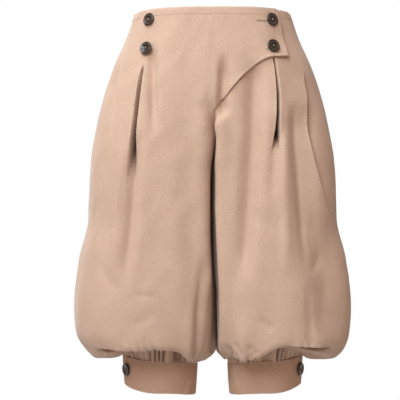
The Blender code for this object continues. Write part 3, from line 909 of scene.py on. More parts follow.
def new_material(name: str) -> tuple[Material, NodeChain, Node]:
    """A material with its Principled shader.

    Args:
        name: the material's name.

    Returns:
        The material, a chain in its tree and the shader's node.
    """
    material = bpy.data.materials.new(name)
    material.use_nodes = True
    tree = material.node_tree
    return material, NodeChain(tree), tree.nodes["Principled BSDF"]


def set_constants(shader: Node, **values) -> None:
    """Set a shader's own sockets, with underscores for spaces."""
    for name, value in values.items():
        shader.inputs[name.replace("_", " ")].default_value = value


@dataclass(frozen=True)
class BrushedTwill:
    """Sturdy cotton twill with a soft brushed face, with shade painted into its folds.

    The attribute that it reads is above 0 where the cloth is rubbed, and below 0 inside
    a fold, where it paints shade deep in pleats, tucks and gathers.
    """

    name: str = "Brushed twill"
    colour: tuple[float, float, float] = (0.635, 0.440, 0.330)
    shade: tuple[float, float, float] = (0.570, 0.384, 0.280)
    fleck: tuple[float, float, float] = (0.508, 0.332, 0.238)
    rubbed: tuple[float, float, float] = (0.715, 0.540, 0.430)
    # The colour of the shade painted deep in pleats, tucks and gathers.
    deep: tuple[float, float, float] = (0.060, 0.025, 0.014)
    roughness: float = 0.88
    sheen: float = 0.30
    weave_depth: float = 0.00010
    nap_depth: float = 0.00022

    CLOUD_SHARE = 0.8
    FLECK_SHARE = 0.8
    RUBBED_SHARE = 0.7
    ROUGH_SPREAD = 0.10
    BUMP_STRENGTH = 0.8

    def material(self) -> Material:
        """The cloth's material."""
        material, chain, shader = new_material(self.name)
        cloth = chain.add("ShaderNodeUVMap", uv_map="Cloth").outputs["UV"]
        wear_and_painted_light = chain.add("ShaderNodeAttribute", attribute_name="wear_and_painted_light").outputs["Fac"]
        nap = BrushedNap.put(chain, Cloth=cloth).outputs
        weave = TwillWeave.put(chain, Cloth=cloth).outputs
        edge = WornEdge.put(chain, Cloth=cloth, Worn=wear_and_painted_light).outputs
        clouds = chain.math("MULTIPLY", nap["Clouds"], self.CLOUD_SHARE)
        flecks = chain.math("MULTIPLY", nap["Flecks"], self.FLECK_SHARE)
        rubbed = chain.math("MULTIPLY", edge["Mask"], self.RUBBED_SHARE)
        # Painted shade: where the attribute is below 0, deep in pleats, tucks and gathers.
        painted_fold_shade = chain.math("MULTIPLY", wear_and_painted_light, -1.0, clamp=True)
        tone = chain.mix(clouds, (*self.colour, 1), (*self.shade, 1))
        tone = chain.mix(flecks, tone, (*self.fleck, 1))
        tone = chain.mix(rubbed, tone, (*self.rubbed, 1))
        tone = chain.mix(painted_fold_shade, tone, (*self.deep, 1))
        chain.feed(shader.inputs["Base Color"], tone)
        smoothest = self.roughness - self.ROUGH_SPREAD / 2
        rough = chain.math("MULTIPLY_ADD", nap["Fibres"], self.ROUGH_SPREAD, smoothest)
        chain.feed(shader.inputs["Roughness"], rough)
        woven = chain.bump(weave["Height"], self.weave_depth, self.BUMP_STRENGTH)
        brushed = chain.bump(nap["Fibres"], self.nap_depth, self.BUMP_STRENGTH, woven)
        chain.feed(shader.inputs["Normal"], brushed)
        set_constants(shader, Specular_IOR_Level=0.2, Sheen_Weight=self.sheen,
                      Sheen_Roughness=0.45, Sheen_Tint=(1.0, 0.93, 0.86, 1))
        return material


@dataclass(frozen=True)
class SewingThread:
    """Matt cotton thread, close to the cloth in colour, or a button's paler one."""

    name: str = "Sewing thread"
    colour: tuple[float, float, float] = (0.580, 0.398, 0.292)
    twist: float = 2600.0

    SHADE = 0.72
    TWIST_DEPTH = 0.00006

    def material(self) -> Material:
        """The thread's material."""
        material, chain, shader = new_material(self.name)
        place = chain.add("ShaderNodeTexCoord").outputs["Object"]
        fibre = chain.noise(place, self.twist, detail=2.0, rough=0.7)
        darker = tuple(self.SHADE * v for v in self.colour)
        chain.feed(shader.inputs["Base Color"], chain.mix(fibre, (*darker, 1), (*self.colour, 1)))
        chain.feed(shader.inputs["Normal"], chain.bump(fibre, self.TWIST_DEPTH))
        set_constants(shader, Roughness=0.8, Sheen_Weight=0.2)
        return material


@dataclass(frozen=True)
class PolishedHorn:
    """Dark horn: brown streaks under a rubbed polish, with a highlight painted on the dished ring."""

    name: str = "Polished horn"
    dark: tuple[float, float, float] = (0.006, 0.0035, 0.0025)
    light: tuple[float, float, float] = (0.036, 0.017, 0.009)
    # The dished ring's paler colour is a painted highlight, where the lamps would glint.
    ring: tuple[float, float, float] = (0.170, 0.125, 0.098)

    STREAK_STRETCH = (1.0, 3.2, 1.0)
    STREAK_SCALE = 260.0
    STREAK_RANGE = (0.38, 0.70)
    STREAK_DEPTH = 0.00005
    PAINTED_HIGHLIGHT_SHARE = 0.6
    RUB_SCALE = 900.0
    POLISH = 0.14
    POLISH_SPREAD = 0.18

    def material(self) -> Material:
        """The buttons' material."""
        material, chain, shader = new_material(self.name)
        place = chain.add("ShaderNodeTexCoord").outputs["Object"]
        stretched = {"Vector": place, "Scale": self.STREAK_STRETCH}
        streaks = chain.add("ShaderNodeMapping", stretched).outputs[0]
        grain = chain.noise(streaks, self.STREAK_SCALE, detail=5.0, rough=0.6)
        grain = chain.stretch(grain, *self.STREAK_RANGE)
        wear_and_painted_light = chain.add("ShaderNodeAttribute", attribute_name="wear_and_painted_light").outputs["Fac"]
        tone = chain.mix(grain, (*self.dark, 1), (*self.light, 1))
        # Paint the highlight on the dished ring.
        tone = chain.mix(chain.math("MULTIPLY", wear_and_painted_light, self.PAINTED_HIGHLIGHT_SHARE), tone, (*self.ring, 1))
        chain.feed(shader.inputs["Base Color"], tone)
        rubbed = chain.noise(place, self.RUB_SCALE, detail=3.0, rough=0.6)
        rough = chain.math("MULTIPLY_ADD", rubbed, self.POLISH_SPREAD, self.POLISH)
        chain.feed(shader.inputs["Roughness"], rough)
        chain.feed(shader.inputs["Normal"], chain.bump(grain, self.STREAK_DEPTH, 0.5))
        set_constants(shader, Coat_Weight=0.5, Coat_Roughness=0.10)
        return material


class Wardrobe:
    """Every finish of the garment, each made once."""

    def __init__(self) -> None:
        """Make the materials."""
        self.face = BrushedTwill().material()
        self.wrong_side = BrushedTwill(
            name="Twill wrong side", colour=(0.60, 0.41, 0.30), shade=(0.53, 0.35, 0.25),
            sheen=0.1, nap_depth=0.0001,
        ).material()
        # The knee bands' twill is darker and redder: shade painted into its colour, where the legs'
        # overhang shades the bands.
        self.band = BrushedTwill(
            name="Doubled twill with painted shade", colour=(0.590, 0.378, 0.262), shade=(0.525, 0.325, 0.220),
            fleck=(0.465, 0.280, 0.188), sheen=0.1,
        ).material()
        self.thread = SewingThread().material()
        self.button_thread = SewingThread("Button thread", (0.50, 0.42, 0.34)).material()
        # The buttonhole's slit is a dark strip of painted shade.
        self.opening = SewingThread("Buttonhole slit in painted shade", (0.210, 0.135, 0.090)).material()
        self.horn = PolishedHorn().material()


class ThreadWork:
    """Short threads, each a five-sided rod with tapered ends, as one mesh.

    A rod's rings each have a share of its length and a share of its radius.
    """

    SIDES = 5
    RINGS = ((0.00, 0.35), (0.14, 0.95), (0.86, 0.95), (1.00, 0.35))
    SEATED = 0.7
    STITCH_ENDS = (0.1, 0.9)

    def __init__(self) -> None:
        """Start with no threads."""
        self.points: list[Array] = []
        self.faces: list[list[int]] = []
        self.count = 0
        n = self.SIDES
        self.rod = [[r * n + i, r * n + (i + 1) % n, (r + 1) * n + (i + 1) % n, (r + 1) * n + i]
                    for r in range(len(self.RINGS) - 1) for i in range(n)]
        last = (len(self.RINGS) - 1) * n
        self.rod += [list(range(n))[::-1], list(range(last, last + n))]

    def lay(self, starts: Array, ends: Array, outs: Array, radius: float) -> None:
        """Add threads that lie on the cloth.

        Args:
            starts: where each thread starts.
            ends: where each ends.
            outs: the direction straight out of the cloth at each.
            radius: the thread's radius.
        """
        run = ends - starts
        side = unit(np.cross(outs, run))
        up = unit(np.cross(run, side))
        middle = starts + up * radius * self.SEATED
        for begin, along, across, out in zip(middle, run, side, up):
            for at, share in self.RINGS:
                turn = np.arange(self.SIDES) * 2 * math.pi / self.SIDES
                ring = np.outer(np.cos(turn), across) + np.outer(np.sin(turn), out)
                self.points.append(begin + along * at + ring * radius * share)
            self.faces += [[self.count + i for i in face] for face in self.rod]
            self.count += self.SIDES * len(self.RINGS)

    def sew(self, grid: ClothGrid, rows: Array, columns: Array, stitch: float = 0.0028,
            radius: float = 0.00027) -> None:
        """Add a row of stitches along a line on the cloth.

        Args:
            grid: the cloth.
            rows: the line's rows.
            columns: the line's columns.
            stitch: the length of a stitch with the space after it.
            radius: the thread's radius.
        """
        places, outs = grid.walk(rows, columns, stitch)
        step = np.diff(places, axis=0)
        starts, ends = (places[:-1] + share * step for share in self.STITCH_ENDS)
        self.lay(starts, ends, outs[:-1], radius)

    def built(self, name: str, slot: str, material: Material) -> Object:
        """All the threads as one piece."""
        piece = mesh_object(name, np.concatenate(self.points), self.faces)
        settle(piece, slot, material)
        return piece


@dataclass(frozen=True)
class Cut:
    """The flat piece that a panel is cut from."""

    width: float
    length: float
    area: float


@dataclass
class BodyPanel:
    """One front or back panel, from the waist to the knee band."""

    name: str
    side: Side
    front: bool
    folds: tuple[Fold, ...]
    creases: tuple[Crease, ...]
    tuck: Tuck
    sags: tuple[Sag, ...]
    gathers: Gathers
    ripple: Ripple
    cut: Cut
    seam_from: float = 0.0
    columns: int = 172
    rows: int = 228
    seam_strip: float = 0.006
    seam_calm: float = 0.030
    centre_calm: float = 0.012
    nip: float = 0.0
    seam_round: float = 0.0035
    seam_sink: float = 0.0011
    seam_draw: float = 0.0002
    hem_stitch: float = 0.012
    hem_dent: float = 0.00006
    hem_step: float = 0.001
    press: float = 0.0001
    form: LegForm = field(init=False)
    lines: list[Array] = field(init=False)
    downs: Array = field(init=False)
    grid: ClothGrid = field(init=False)

    # Ways down between which the folds fade over the gathers, and the share that goes.
    FOLDS_FADE = (0.600, 0.655)
    FOLDS_LOST = 0.75

    # Ways down where the sags start to fade, and where the calm strip beside the centre
    # starts to widen and the sewn centre edge to part, both until the crotch.
    SAGS_FADE = 0.640
    CALM_WIDENS = 0.260
    EDGE_PARTS = 0.240

    # The way down to the nip at the outer foot, and between which xs it sets in.
    NIP_DOWN = 0.576
    NIP_REACH = 0.022
    NIP_XS = (0.120, 0.190)

    # The puckers beside a seam, and how the cloth turns into it.
    PUCKER = Peak(0.00028, 0.007)
    PUCKER_LENGTH = 0.0125
    PUCKER_SWAY = 2.2
    PUCKER_SWAY_LENGTH = 0.019
    SEAM_TURN = 2.5
    SEAM_TOP = 0.012
    SEAM_START = 0.004

    # Where the rows and columns stand closer together.
    ROW_MARKS = 2400
    COLUMN_MARKS = 700
    HEM_CROWD = Peak(2.2, 0.004)
    TOP_CROWD = Peak(2.0, 0.003)
    FOOT_CROWD = 1.3
    FOOT_DOWNS = (0.540, 0.566)
    TUCK_CROWD = Peak(2.4, 0.024)
    TUCK_DOWN = 0.588
    SIDE_CROWD = Peak(1.5, 0.004)
    FOLD_CROWDS = {FoldKind.PLEAT: 6.0, FoldKind.EDGE: 2.5}
    FOLD_CROWD_REACH = 0.0055
    FOLD_LEAD = 0.04
    FOLD_TAIL = 0.12

    # How rubbed the seams, a pleat's lips and a pressed edge are, and how far in.
    OUTER_RUB = Peak(0.45, 0.003)
    INNER_RUB = Peak(0.35, 0.003)
    SEAM_RUB_AT = 0.003
    LIP_RUB = Peak(0.5, 0.002)
    LIP_RUB_AT = 0.001
    EDGE_RUB = Peak(0.4, 0.0022)
    EDGE_RUB_AT = 0.002

    # How dark the painted shade in the gathers gets, and the depths at which the painted
    # shade in tucks and pleats is darkest.
    GATHER_SHADE = 0.8
    TUCK_SHADE_DEPTH = 0.014
    PLEAT_SHADE_SHARE = 0.6

    # How many columns the waist hem's stitching starts and ends inside the panel's edges.
    STITCH_INSET = 1.5
    STITCH_MARKS = 400

    def __post_init__(self) -> None:
        """Work out the smooth form and the folds' lines on it."""
        self.form = LegForm(LEG_RINGS, self.front)
        self.lines = [fold.line(self.form) for fold in self.folds]

    def surface(self, down: Array, way: Array, lift: Array | float = 0.0) -> Array:
        """Points of the folded cloth in leg coordinates.

        Args:
            down: ways down the cloth.
            way: ways round the ring from its outer side.
            lift: how far off the cloth the points lie.

        Returns:
            The points.
        """
        form = self.form
        base = form.read(form.points, down, way)
        length = form.length(down)
        push = self.ripple.push(down, way)
        for fold, line in zip(self.folds, self.lines):
            push = push + fold.push(way - np.interp(down, form.downs, line), down)
        calm = smooth(way, self.seam_strip, self.seam_calm)
        inner = smooth(length - way, self.seam_strip, self.seam_calm)
        centre = smooth(length - way, 0, self.centre_calm)
        calm = calm * (centre + (inner - centre) * smooth(down, self.CALM_WIDENS, CROTCH))
        push = push * calm * (1 - self.FOLDS_LOST * smooth(down, *self.FOLDS_FADE))
        for crease in self.creases:
            push = push + crease.push(form, down, way) * calm
        push = push + self.tuck.push(base[..., 0], down)
        push = push + self.gathers.push(form, down, way / length)
        push = push - self.hem_dent * bell(down - self.hem_stitch, GROOVE)
        push = push + self.seam(down, way) + self.seam(down, length - way) * self.seam_share(down)
        for sag in self.sags:
            fallen = sag.fall(base[..., 0], down)
            base[..., 2] -= fallen * (1 - smooth(down, self.SAGS_FADE, LEG_END))
        nip = self.nip * bell(down - self.NIP_DOWN, self.NIP_REACH)
        base[..., 0] -= nip * smooth(base[..., 0], *self.NIP_XS)
        points = base + form.read(form.outwards, down, way) * (push + lift)[..., None]
        points[..., 0] = self.beside_centre(points[..., 0], base[..., 0], down, length - way)
        return points

    def beside_centre(self, x: Array, smooth_x: Array, down: Array, off: Array) -> Array:
        """Draw the centre seam's edges together and keep the rest on its own side.

        Args:
            x: how far out the folded cloth lies.
            smooth_x: how far out the smooth form lies there.
            down: ways down the cloth.
            off: ways round the ring to the centre edge.

        Returns:
            How far out the cloth lies then.
        """
        sewn = np.clip(1 - off / self.seam_round, 0, 1)
        sewn = sewn * (1 - smooth(down, self.EDGE_PARTS, CROTCH))
        x = x + (smooth_x - self.seam_draw - x) * sewn
        room = x - np.interp(down, self.form.downs, self.form.gaps)
        return x + (np.hypot(room, self.press) - room) / 2 * (1 - sewn)

    def seam(self, down: Array, off: Array) -> Array:
        """How the cloth sinks into a seam, with the slight puckers beside it.

        Args:
            down: ways down the cloth.
            off: ways round the ring to the seam.

        Returns:
            Distances out of the smooth form.
        """
        sway = self.PUCKER_SWAY * np.sin(down / self.PUCKER_SWAY_LENGTH)
        puckers = np.sin(2 * math.pi * down / self.PUCKER_LENGTH + sway) * self.PUCKER.over(off)
        turned = np.clip(1 - off / self.seam_round, 0, 1) ** self.SEAM_TURN
        return puckers - self.seam_sink * turned * smooth(down, 0, self.SEAM_TOP)

    def seam_share(self, down: Array) -> Array:
        """How much of the inner seam there is: none where a flap crosses the centre."""
        if not self.seam_from:
            return np.ones_like(down)
        return smooth(down, self.seam_from, self.seam_from + self.SEAM_START)

    def row_downs(self) -> Array:
        """The rows' ways down, closer together at the hem, the tuck and the gathers."""
        fine = np.linspace(0, LEG_END, self.ROW_MARKS)
        density = 1 + self.HEM_CROWD.over(fine - self.hem_stitch) + self.TOP_CROWD.over(fine)
        density += self.FOOT_CROWD * smooth(fine, *self.FOOT_DOWNS)
        density += self.TUCK_CROWD.over(fine - self.TUCK_DOWN)
        return even_marks(fine, density, self.rows)

    def row_ways(self, down: float) -> Array:
        """The columns' ways on a row, closer together at the pleats and edges."""
        length = float(self.form.length(down))
        end = length - (HALF_GAP if down >= CROTCH else 0)
        fine = np.linspace(HALF_GAP, end, self.COLUMN_MARKS)
        density = 1 + self.SIDE_CROWD.over(fine) + self.SIDE_CROWD.over(length - fine)
        for fold, line in zip(self.folds, self.lines):
            gain = self.FOLD_CROWDS.get(fold.kind, 0.0)
            gain *= float(smooth(down, fold.top - self.FOLD_LEAD, fold.top))
            gain *= 1 - float(smooth(down, fold.foot, fold.foot + self.FOLD_TAIL))
            off = fine - np.interp(down, self.form.downs, line)
            density += gain * bell(off, self.FOLD_CROWD_REACH)
        return even_marks(fine, density, self.columns)

    def wear_and_painted_shade(self, down: Array, way: Array) -> Array:
        """How rubbed the cloth is: at its hem, its seams and its folded edges.

        The shade painted deep in its folds is taken off, below 0.
        """
        off = self.form.length(down) - way
        wear_and_painted_light = bell(down, HEM_RUB) + self.OUTER_RUB.over(way - self.SEAM_RUB_AT)
        wear_and_painted_light = wear_and_painted_light + self.INNER_RUB.over(off - self.SEAM_RUB_AT) * self.seam_share(down)
        for fold, line in zip(self.folds, self.lines):
            off = np.abs(way - np.interp(down, self.form.downs, line))
            if fold.kind is FoldKind.PLEAT:
                rubbed = self.LIP_RUB.over(off - fold.half_mouth(down) - self.LIP_RUB_AT)
                wear_and_painted_light = wear_and_painted_light + fold.share(down) * rubbed
            elif fold.kind is FoldKind.EDGE:
                wear_and_painted_light = wear_and_painted_light + fold.share(down) * self.EDGE_RUB.over(off - self.EDGE_RUB_AT)
        return np.clip(wear_and_painted_light, 0, 1) - self.painted_fold_shade(down, way)

    def painted_fold_shade(self, down: Array, way: Array) -> Array:
        """How much shade to paint on the cloth, by how deep in a pleat, tuck or gather it lies.

        Args:
            down: ways down the cloth.
            way: ways round the ring.

        Returns:
            Shares from 0 to 1.
        """
        x = self.form.read(self.form.points, down, way)[..., 0]
        share = way / self.form.length(down)
        deep = np.clip(-self.gathers.push(self.form, down, share) / self.gathers.depth, 0, 1)
        tuck_shade = np.clip(-self.tuck.push(x, down) / self.TUCK_SHADE_DEPTH, 0, 1)
        deep = self.GATHER_SHADE * deep + tuck_shade
        for fold, line in zip(self.folds, self.lines):
            if fold.kind is FoldKind.PLEAT:
                off = way - np.interp(down, self.form.downs, line)
                darkest = self.PLEAT_SHADE_SHARE * fold.depth
                deep = deep + np.clip(-fold.push(off, down) / darkest, 0, 1)
        return np.clip(deep, 0, 1)

    def shaped(self, points: Array, down: Array) -> Array:
        """Change that only some panels need, in leg coordinates."""
        return points

    def extended(self, centre: Array, centre_ways: Array) -> tuple[list, list]:
        """What is cut in one with the panel, past its last column: nothing here."""
        return [], []

    def build(self, wardrobe: Wardrobe) -> Object:
        """Make the panel's shell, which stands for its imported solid.

        Args:
            wardrobe: the finishes.

        Returns:
            The panel.
        """
        self.downs = self.row_downs()
        ways = np.array([self.row_ways(down) for down in self.downs])
        down = np.repeat(self.downs[:, None], self.columns, axis=1)
        points = self.shaped(self.surface(down, ways), down)
        points = Legs.to_side(points, down, self.side)
        flip = (self.side is Side.LEFT) == self.front
        self.grid = ClothGrid(points, not flip)
        doubled = 1 - smooth(down, self.hem_stitch, self.hem_stitch + self.hem_step)
        parts = [(points, np.stack([ways, -down], axis=-1), self.wear_and_painted_shade(down, ways), doubled)]
        faces = grid_faces(self.rows, self.columns, flip)
        more_parts, more_faces = self.extended(points[:, -1], ways[:, -1])
        places, flat, wear_and_painted_light, doubled = (
            np.concatenate([part[i].reshape(-1, *part[i].shape[2:]) for part in parts + more_parts])
            for i in range(4)
        )
        piece = mesh_object(self.name + "_shell", places, faces + more_faces, flat, wear_and_painted_light)
        self.thicken(piece, doubled)
        settle(piece, "cloth", wardrobe.face, wardrobe.wrong_side)
        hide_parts(self.name)
        stitches = self.stitching(wardrobe)
        return piece

    def thicken(self, piece: Object, doubled: Array) -> None:
        """Give the open cloth its thickness, inwards, twice as much at the hem.

        Args:
            piece: the panel.
            doubled: how doubled each vertex is, from 0 to 1.
        """
        group = piece.vertex_groups.new(name="doubled")
        shares = np.round(0.5 + 0.5 * doubled, 2)
        for share in np.unique(shares):
            group.add(np.flatnonzero(shares == share).tolist(), float(share), "REPLACE")
        solid = piece.modifiers.new("Cloth thickness", "SOLIDIFY")
        solid.thickness = 2 * CLOTH
        solid.offset = -1
        solid.use_quality_normals = True
        solid.material_offset = 1
        solid.vertex_group = group.name

    def stitching(self, wardrobe: Wardrobe) -> list[Object]:
        """The stitching along the waist hem."""
        threads = ThreadWork()
        self.stitch_into(threads)
        return [threads.built(self.name + "_stitching", "cloth", wardrobe.thread)]

    def stitch_into(self, threads: ThreadWork) -> None:
        """Sew along the waist hem."""
        last = self.columns - 1 - self.STITCH_INSET
        columns = np.linspace(self.STITCH_INSET, last, self.STITCH_MARKS)
        row = np.interp(self.hem_stitch, self.downs, np.arange(self.rows))
        threads.sew(self.grid, np.full_like(columns, row), columns)


class Slit(NamedTuple):
    """Where a buttonhole starts and ends: out from the centre and down from the waist."""

    x_start: float
    down_start: float
    x_end: float
    down_end: float


@dataclass
class FrontWithFlap(BodyPanel):
    """The wearer's right front, cut in one with the fall flap that laps to the left."""

    under: BodyPanel | None = None
    ramp_start: float = 0.045
    ramp_end: float = 0.012
    top_x: float = 0.104
    corner: tuple[float, float] = (0.1215, 0.0810)
    curve_start: tuple[float, float] = (0.098, 0.0830)
    curve_pull: tuple[float, float] = (0.066, 0.084)
    fly_end: float = FLY_END
    fade: float = 0.018
    flap_columns: int = 74
    curl: float = 0.0022
    curl_reach: float = 0.009
    side_stitch: float = 0.010
    foot_stitch: float = 0.006
    buttonhole: Slit = Slit(0.0880, 0.0222, 0.0705, 0.0228)
    lower_buttonhole: Slit = Slit(0.0930, 0.0670, 0.0865, 0.0710)
    flap: ClothGrid = field(init=False)
    flap_outs: Array = field(init=False)
    flap_shares: Array = field(init=False)

    # The curl of the flap's free edges, and the share of its width over which it sets in.
    CURL_UNEVEN = 0.35
    CURL_LENGTH = 0.047
    CURL_TURNS = 1.7
    JOINT_SHARE = 0.2

    # The doubled margin outside the stitching, the groove along it and the rubbed edge.
    MARGIN = 0.0008
    MARGIN_SOFT = 0.001
    GROOVE_DEPTH = 0.0004
    EDGE_WEAR = 0.0018

    FOOT_MARKS = 200
    SEARCH_ROUNDS = 6
    HEM_MARKS, SIDE_MARKS, FOOT_STITCH_MARKS = 200, 160, 260

    def row_downs(self) -> Array:
        """The rows' ways down, one of them at the end of the fly."""
        downs = super().row_downs()
        downs[np.abs(downs - self.fly_end).argmin()] = self.fly_end
        return downs

    def shaped(self, points: Array, down: Array) -> Array:
        """Bring the cloth forward near the centre, to lap over the left front."""
        near = 1 - smooth(points[..., 0], self.ramp_end, self.ramp_start)
        points[..., 1] -= FLAP_RISE * near * (1 - smooth(down, self.fly_end, self.fly_end + self.fade))
        return points

    def foot(self, x: Array) -> Array:
        """How far down the flap's lower edge lies, x out from the centre."""
        turn = np.linspace(0, 1, self.FOOT_MARKS)[:, None]
        start, pull, end = np.array(self.curve_start), np.array(self.curve_pull), (0, self.fly_end)
        curve = start * (1 - turn) ** 2 + pull * 2 * turn * (1 - turn) + turn**2 * end
        edge = np.vstack([self.corner, curve])[::-1]
        return np.interp(x, edge[:, 0], edge[:, 1])

    def edge_x(self, share: Array) -> Array:
        """How far out the flap's free edge lies, this share of the way down it."""
        return self.top_x + (self.corner[0] - self.top_x) * share

    def extended(self, centre: Array, centre_ways: Array) -> tuple[list, list]:
        """The flap, made from the left front's surface, lifted off it.

        Args:
            centre: the points of the panel's last column.
            centre_ways: their ways round the ring.

        Returns:
            Points, flat places, wear and doubled shares, and the faces.
        """
        count = int(np.searchsorted(self.downs, self.fly_end, side="right"))
        shares = self.downs[:count, None] / self.fly_end
        out = np.linspace(0, 1, self.flap_columns + 1)[None, 1:]
        down = shares * self.foot(out * self.corner[0])
        side = self.edge_x(shares)
        x = out * side
        form = self.under.form
        way = np.array([[form.way_at_x(d, v) for d, v in zip(*row)] for row in zip(down, x)])
        from_side, from_foot = side - x, self.foot(out * self.corner[0]) - down
        free = np.exp(-from_side / self.curl_reach) + np.exp(-from_foot / self.curl_reach)
        sway = np.sin(2 * math.pi * (down / self.CURL_LENGTH + out * self.CURL_TURNS))
        uneven = 1 - self.CURL_UNEVEN + self.CURL_UNEVEN * sway
        past_side, past_foot = from_side - self.side_stitch, from_foot - self.foot_stitch
        inside = np.minimum(smooth(past_side, -self.MARGIN_SOFT, self.MARGIN_SOFT),
                            smooth(past_foot, -self.MARGIN_SOFT, self.MARGIN_SOFT))
        dents = np.minimum(bell(past_side, GROOVE) + bell(past_foot, GROOVE), 1)
        raised = self.curl * free * uneven + self.MARGIN * (1 - inside) - self.GROOVE_DEPTH * dents
        lift = FLAP_RISE + smooth(out, 0.0, self.JOINT_SHARE) * raised
        points = self.under.surface(down, way, lift)
        points = Legs.to_side(points, down, Side.LEFT)
        self.flap = ClothGrid(np.concatenate([centre[:count, None], points], axis=1), True)
        self.flap_outs = np.concatenate([[0], out[0]])
        self.flap_shares = shares[:, 0]
        flat = np.stack([centre_ways[:count, None] + x, -down], axis=-1)
        rubbed = np.exp(-from_side / self.EDGE_WEAR) + np.exp(-from_foot / self.EDGE_WEAR)
        wear_and_painted_light = np.clip(bell(down, HEM_RUB) + rubbed, 0, 1)
        start = self.rows * self.columns
        width = self.flap_columns
        faces = grid_faces(count, width, False, start)
        joint = np.arange(count)
        edge, first = joint * self.columns + self.columns - 1, start + joint * width
        faces += np.stack([edge[:-1], edge[1:], first[1:], first[:-1]], axis=1).tolist()
        return [(points, flat, wear_and_painted_light, np.zeros_like(down))], faces

    def on_flap(self, x: Array, down: Array) -> tuple[Array, Array]:
        """Points on the flap and the directions straight out of it there.

        The share down and the share out depend on each other, so they are found in rounds.

        Args:
            x: how far out from the centre.
            down: how far down from the waist.

        Returns:
            The points and the directions.
        """
        out = x / self.top_x
        for _ in range(self.SEARCH_ROUNDS):
            share = down / self.foot(out * self.corner[0])
            out = x / self.edge_x(share)
        rows = np.interp(share, self.flap_shares, np.arange(len(self.flap_shares)))
        columns = np.interp(out, self.flap_outs, np.arange(len(self.flap_outs)))
        return self.flap.place(rows, columns)

    def stitch_into(self, threads: ThreadWork) -> None:
        """Sew along the waist hem and inside the flap's free edges."""
        super().stitch_into(threads)
        rows, columns = np.arange(len(self.flap_shares)), np.arange(len(self.flap_outs))
        foot = self.foot(self.flap_outs * self.corner[0])
        inset = np.interp(1 - self.foot_stitch / foot, self.flap_shares, rows)
        edge = np.interp(1 - self.side_stitch / self.edge_x(self.flap_shares), self.flap_outs, columns)
        hem = np.interp(self.hem_stitch / foot, self.flap_shares, rows)
        turn_column = edge[-1]
        turn_row = np.interp(turn_column, columns, inset)
        hem_columns = np.linspace(0.5, np.interp(hem[-1], rows, edge), self.HEM_MARKS)
        threads.sew(self.flap, np.interp(hem_columns, columns, hem), hem_columns)
        down_rows = np.linspace(hem[-1], turn_row, self.SIDE_MARKS)
        threads.sew(self.flap, down_rows, np.interp(down_rows, rows, edge))
        back_columns = np.linspace(turn_column, 1.0, self.FOOT_STITCH_MARKS)
        threads.sew(self.flap, np.interp(back_columns, columns, inset), back_columns)

    def stitching(self, wardrobe: Wardrobe) -> list[Object]:
        """The stitching and the flap's two buttonholes."""
        upper = Buttonhole("flap_buttonhole", self, self.buttonhole, eyelet=0.0013)
        lower = Buttonhole("flap_lower_buttonhole", self, self.lower_buttonhole, eyelet=0.0)
        return super().stitching(wardrobe) + upper.build(wardrobe) + lower.build(wardrobe)


@dataclass
class Buttonhole:
    """A worked buttonhole on the flap: a slit painted dark for its shade, edged with close stitches."""

    name: str
    panel: FrontWithFlap
    ends: Slit
    eyelet: float
    half_width: float = 0.00040
    stitch_reach: float = 0.0016
    stitch_pitch: float = 0.00075
    radius: float = 0.00030
    points: int = 24

    # How the slit narrows at its ends, and where its eyelet is, as shares of its length.
    NARROWEST = 0.05
    END_POWER = 8
    EYELET = Peak(0.75, 0.045)
    EYELET_AT = 0.04

    # How far the slit lies off the cloth, its crown, and how its stitches go under its edges.
    RAISED = 0.00022
    CROWN = 0.00005
    TUCKED_SHARE = 0.9
    STITCH_LIFT = 0.00012
    STITCH_SINK = 0.00010

    def build(self, wardrobe: Wardrobe) -> list[Object]:
        """Make the slit and its stitches.

        Args:
            wardrobe: the finishes.

        Returns:
            Both pieces.
        """
        ends = self.ends
        share = np.linspace(0, 1, self.points)
        line, outs = self.panel.on_flap(ends.x_start + (ends.x_end - ends.x_start) * share,
                                        ends.down_start + (ends.down_end - ends.down_start) * share)
        ahead = unit(np.gradient(line, axis=0))
        across = unit(np.cross(outs, ahead))
        narrowed = np.clip(1 - (2 * share - 1) ** self.END_POWER, self.NARROWEST, 1)
        half = self.half_width * np.sqrt(narrowed)
        half = half + self.eyelet * self.EYELET.over(share - self.EYELET_AT)
        raised = line + outs * self.RAISED
        edges = np.stack([raised - across * half[:, None], raised + outs * self.CROWN,
                          raised + across * half[:, None]], axis=1)
        # The slit is a thin strip coloured dark: painted shade in the opening.
        piece = mesh_object(self.name + "_slit", edges.reshape(-1, 3), grid_faces(self.points, 3, True))
        settle(piece, "cloth", wardrobe.opening)
        threads = ThreadWork()
        steps = int(np.linalg.norm(line[-1] - line[0]) / self.stitch_pitch)
        at = np.linspace(0, self.points - TABLE_EDGE, steps)
        i = at.astype(int)
        centre, out, side, width = line[i], outs[i], across[i], half[i][:, None]
        centre = centre + (line[i + 1] - line[i]) * (at - i)[:, None]
        for sign in (-1, 1):
            inner = centre + sign * side * width * self.TUCKED_SHARE + out * self.STITCH_LIFT
            outer = centre + sign * side * (width + self.stitch_reach) - out * self.STITCH_SINK
            threads.lay(inner, outer, out, self.radius)
        return [piece, threads.built(self.name + "_stitches", "cloth", wardrobe.thread)]


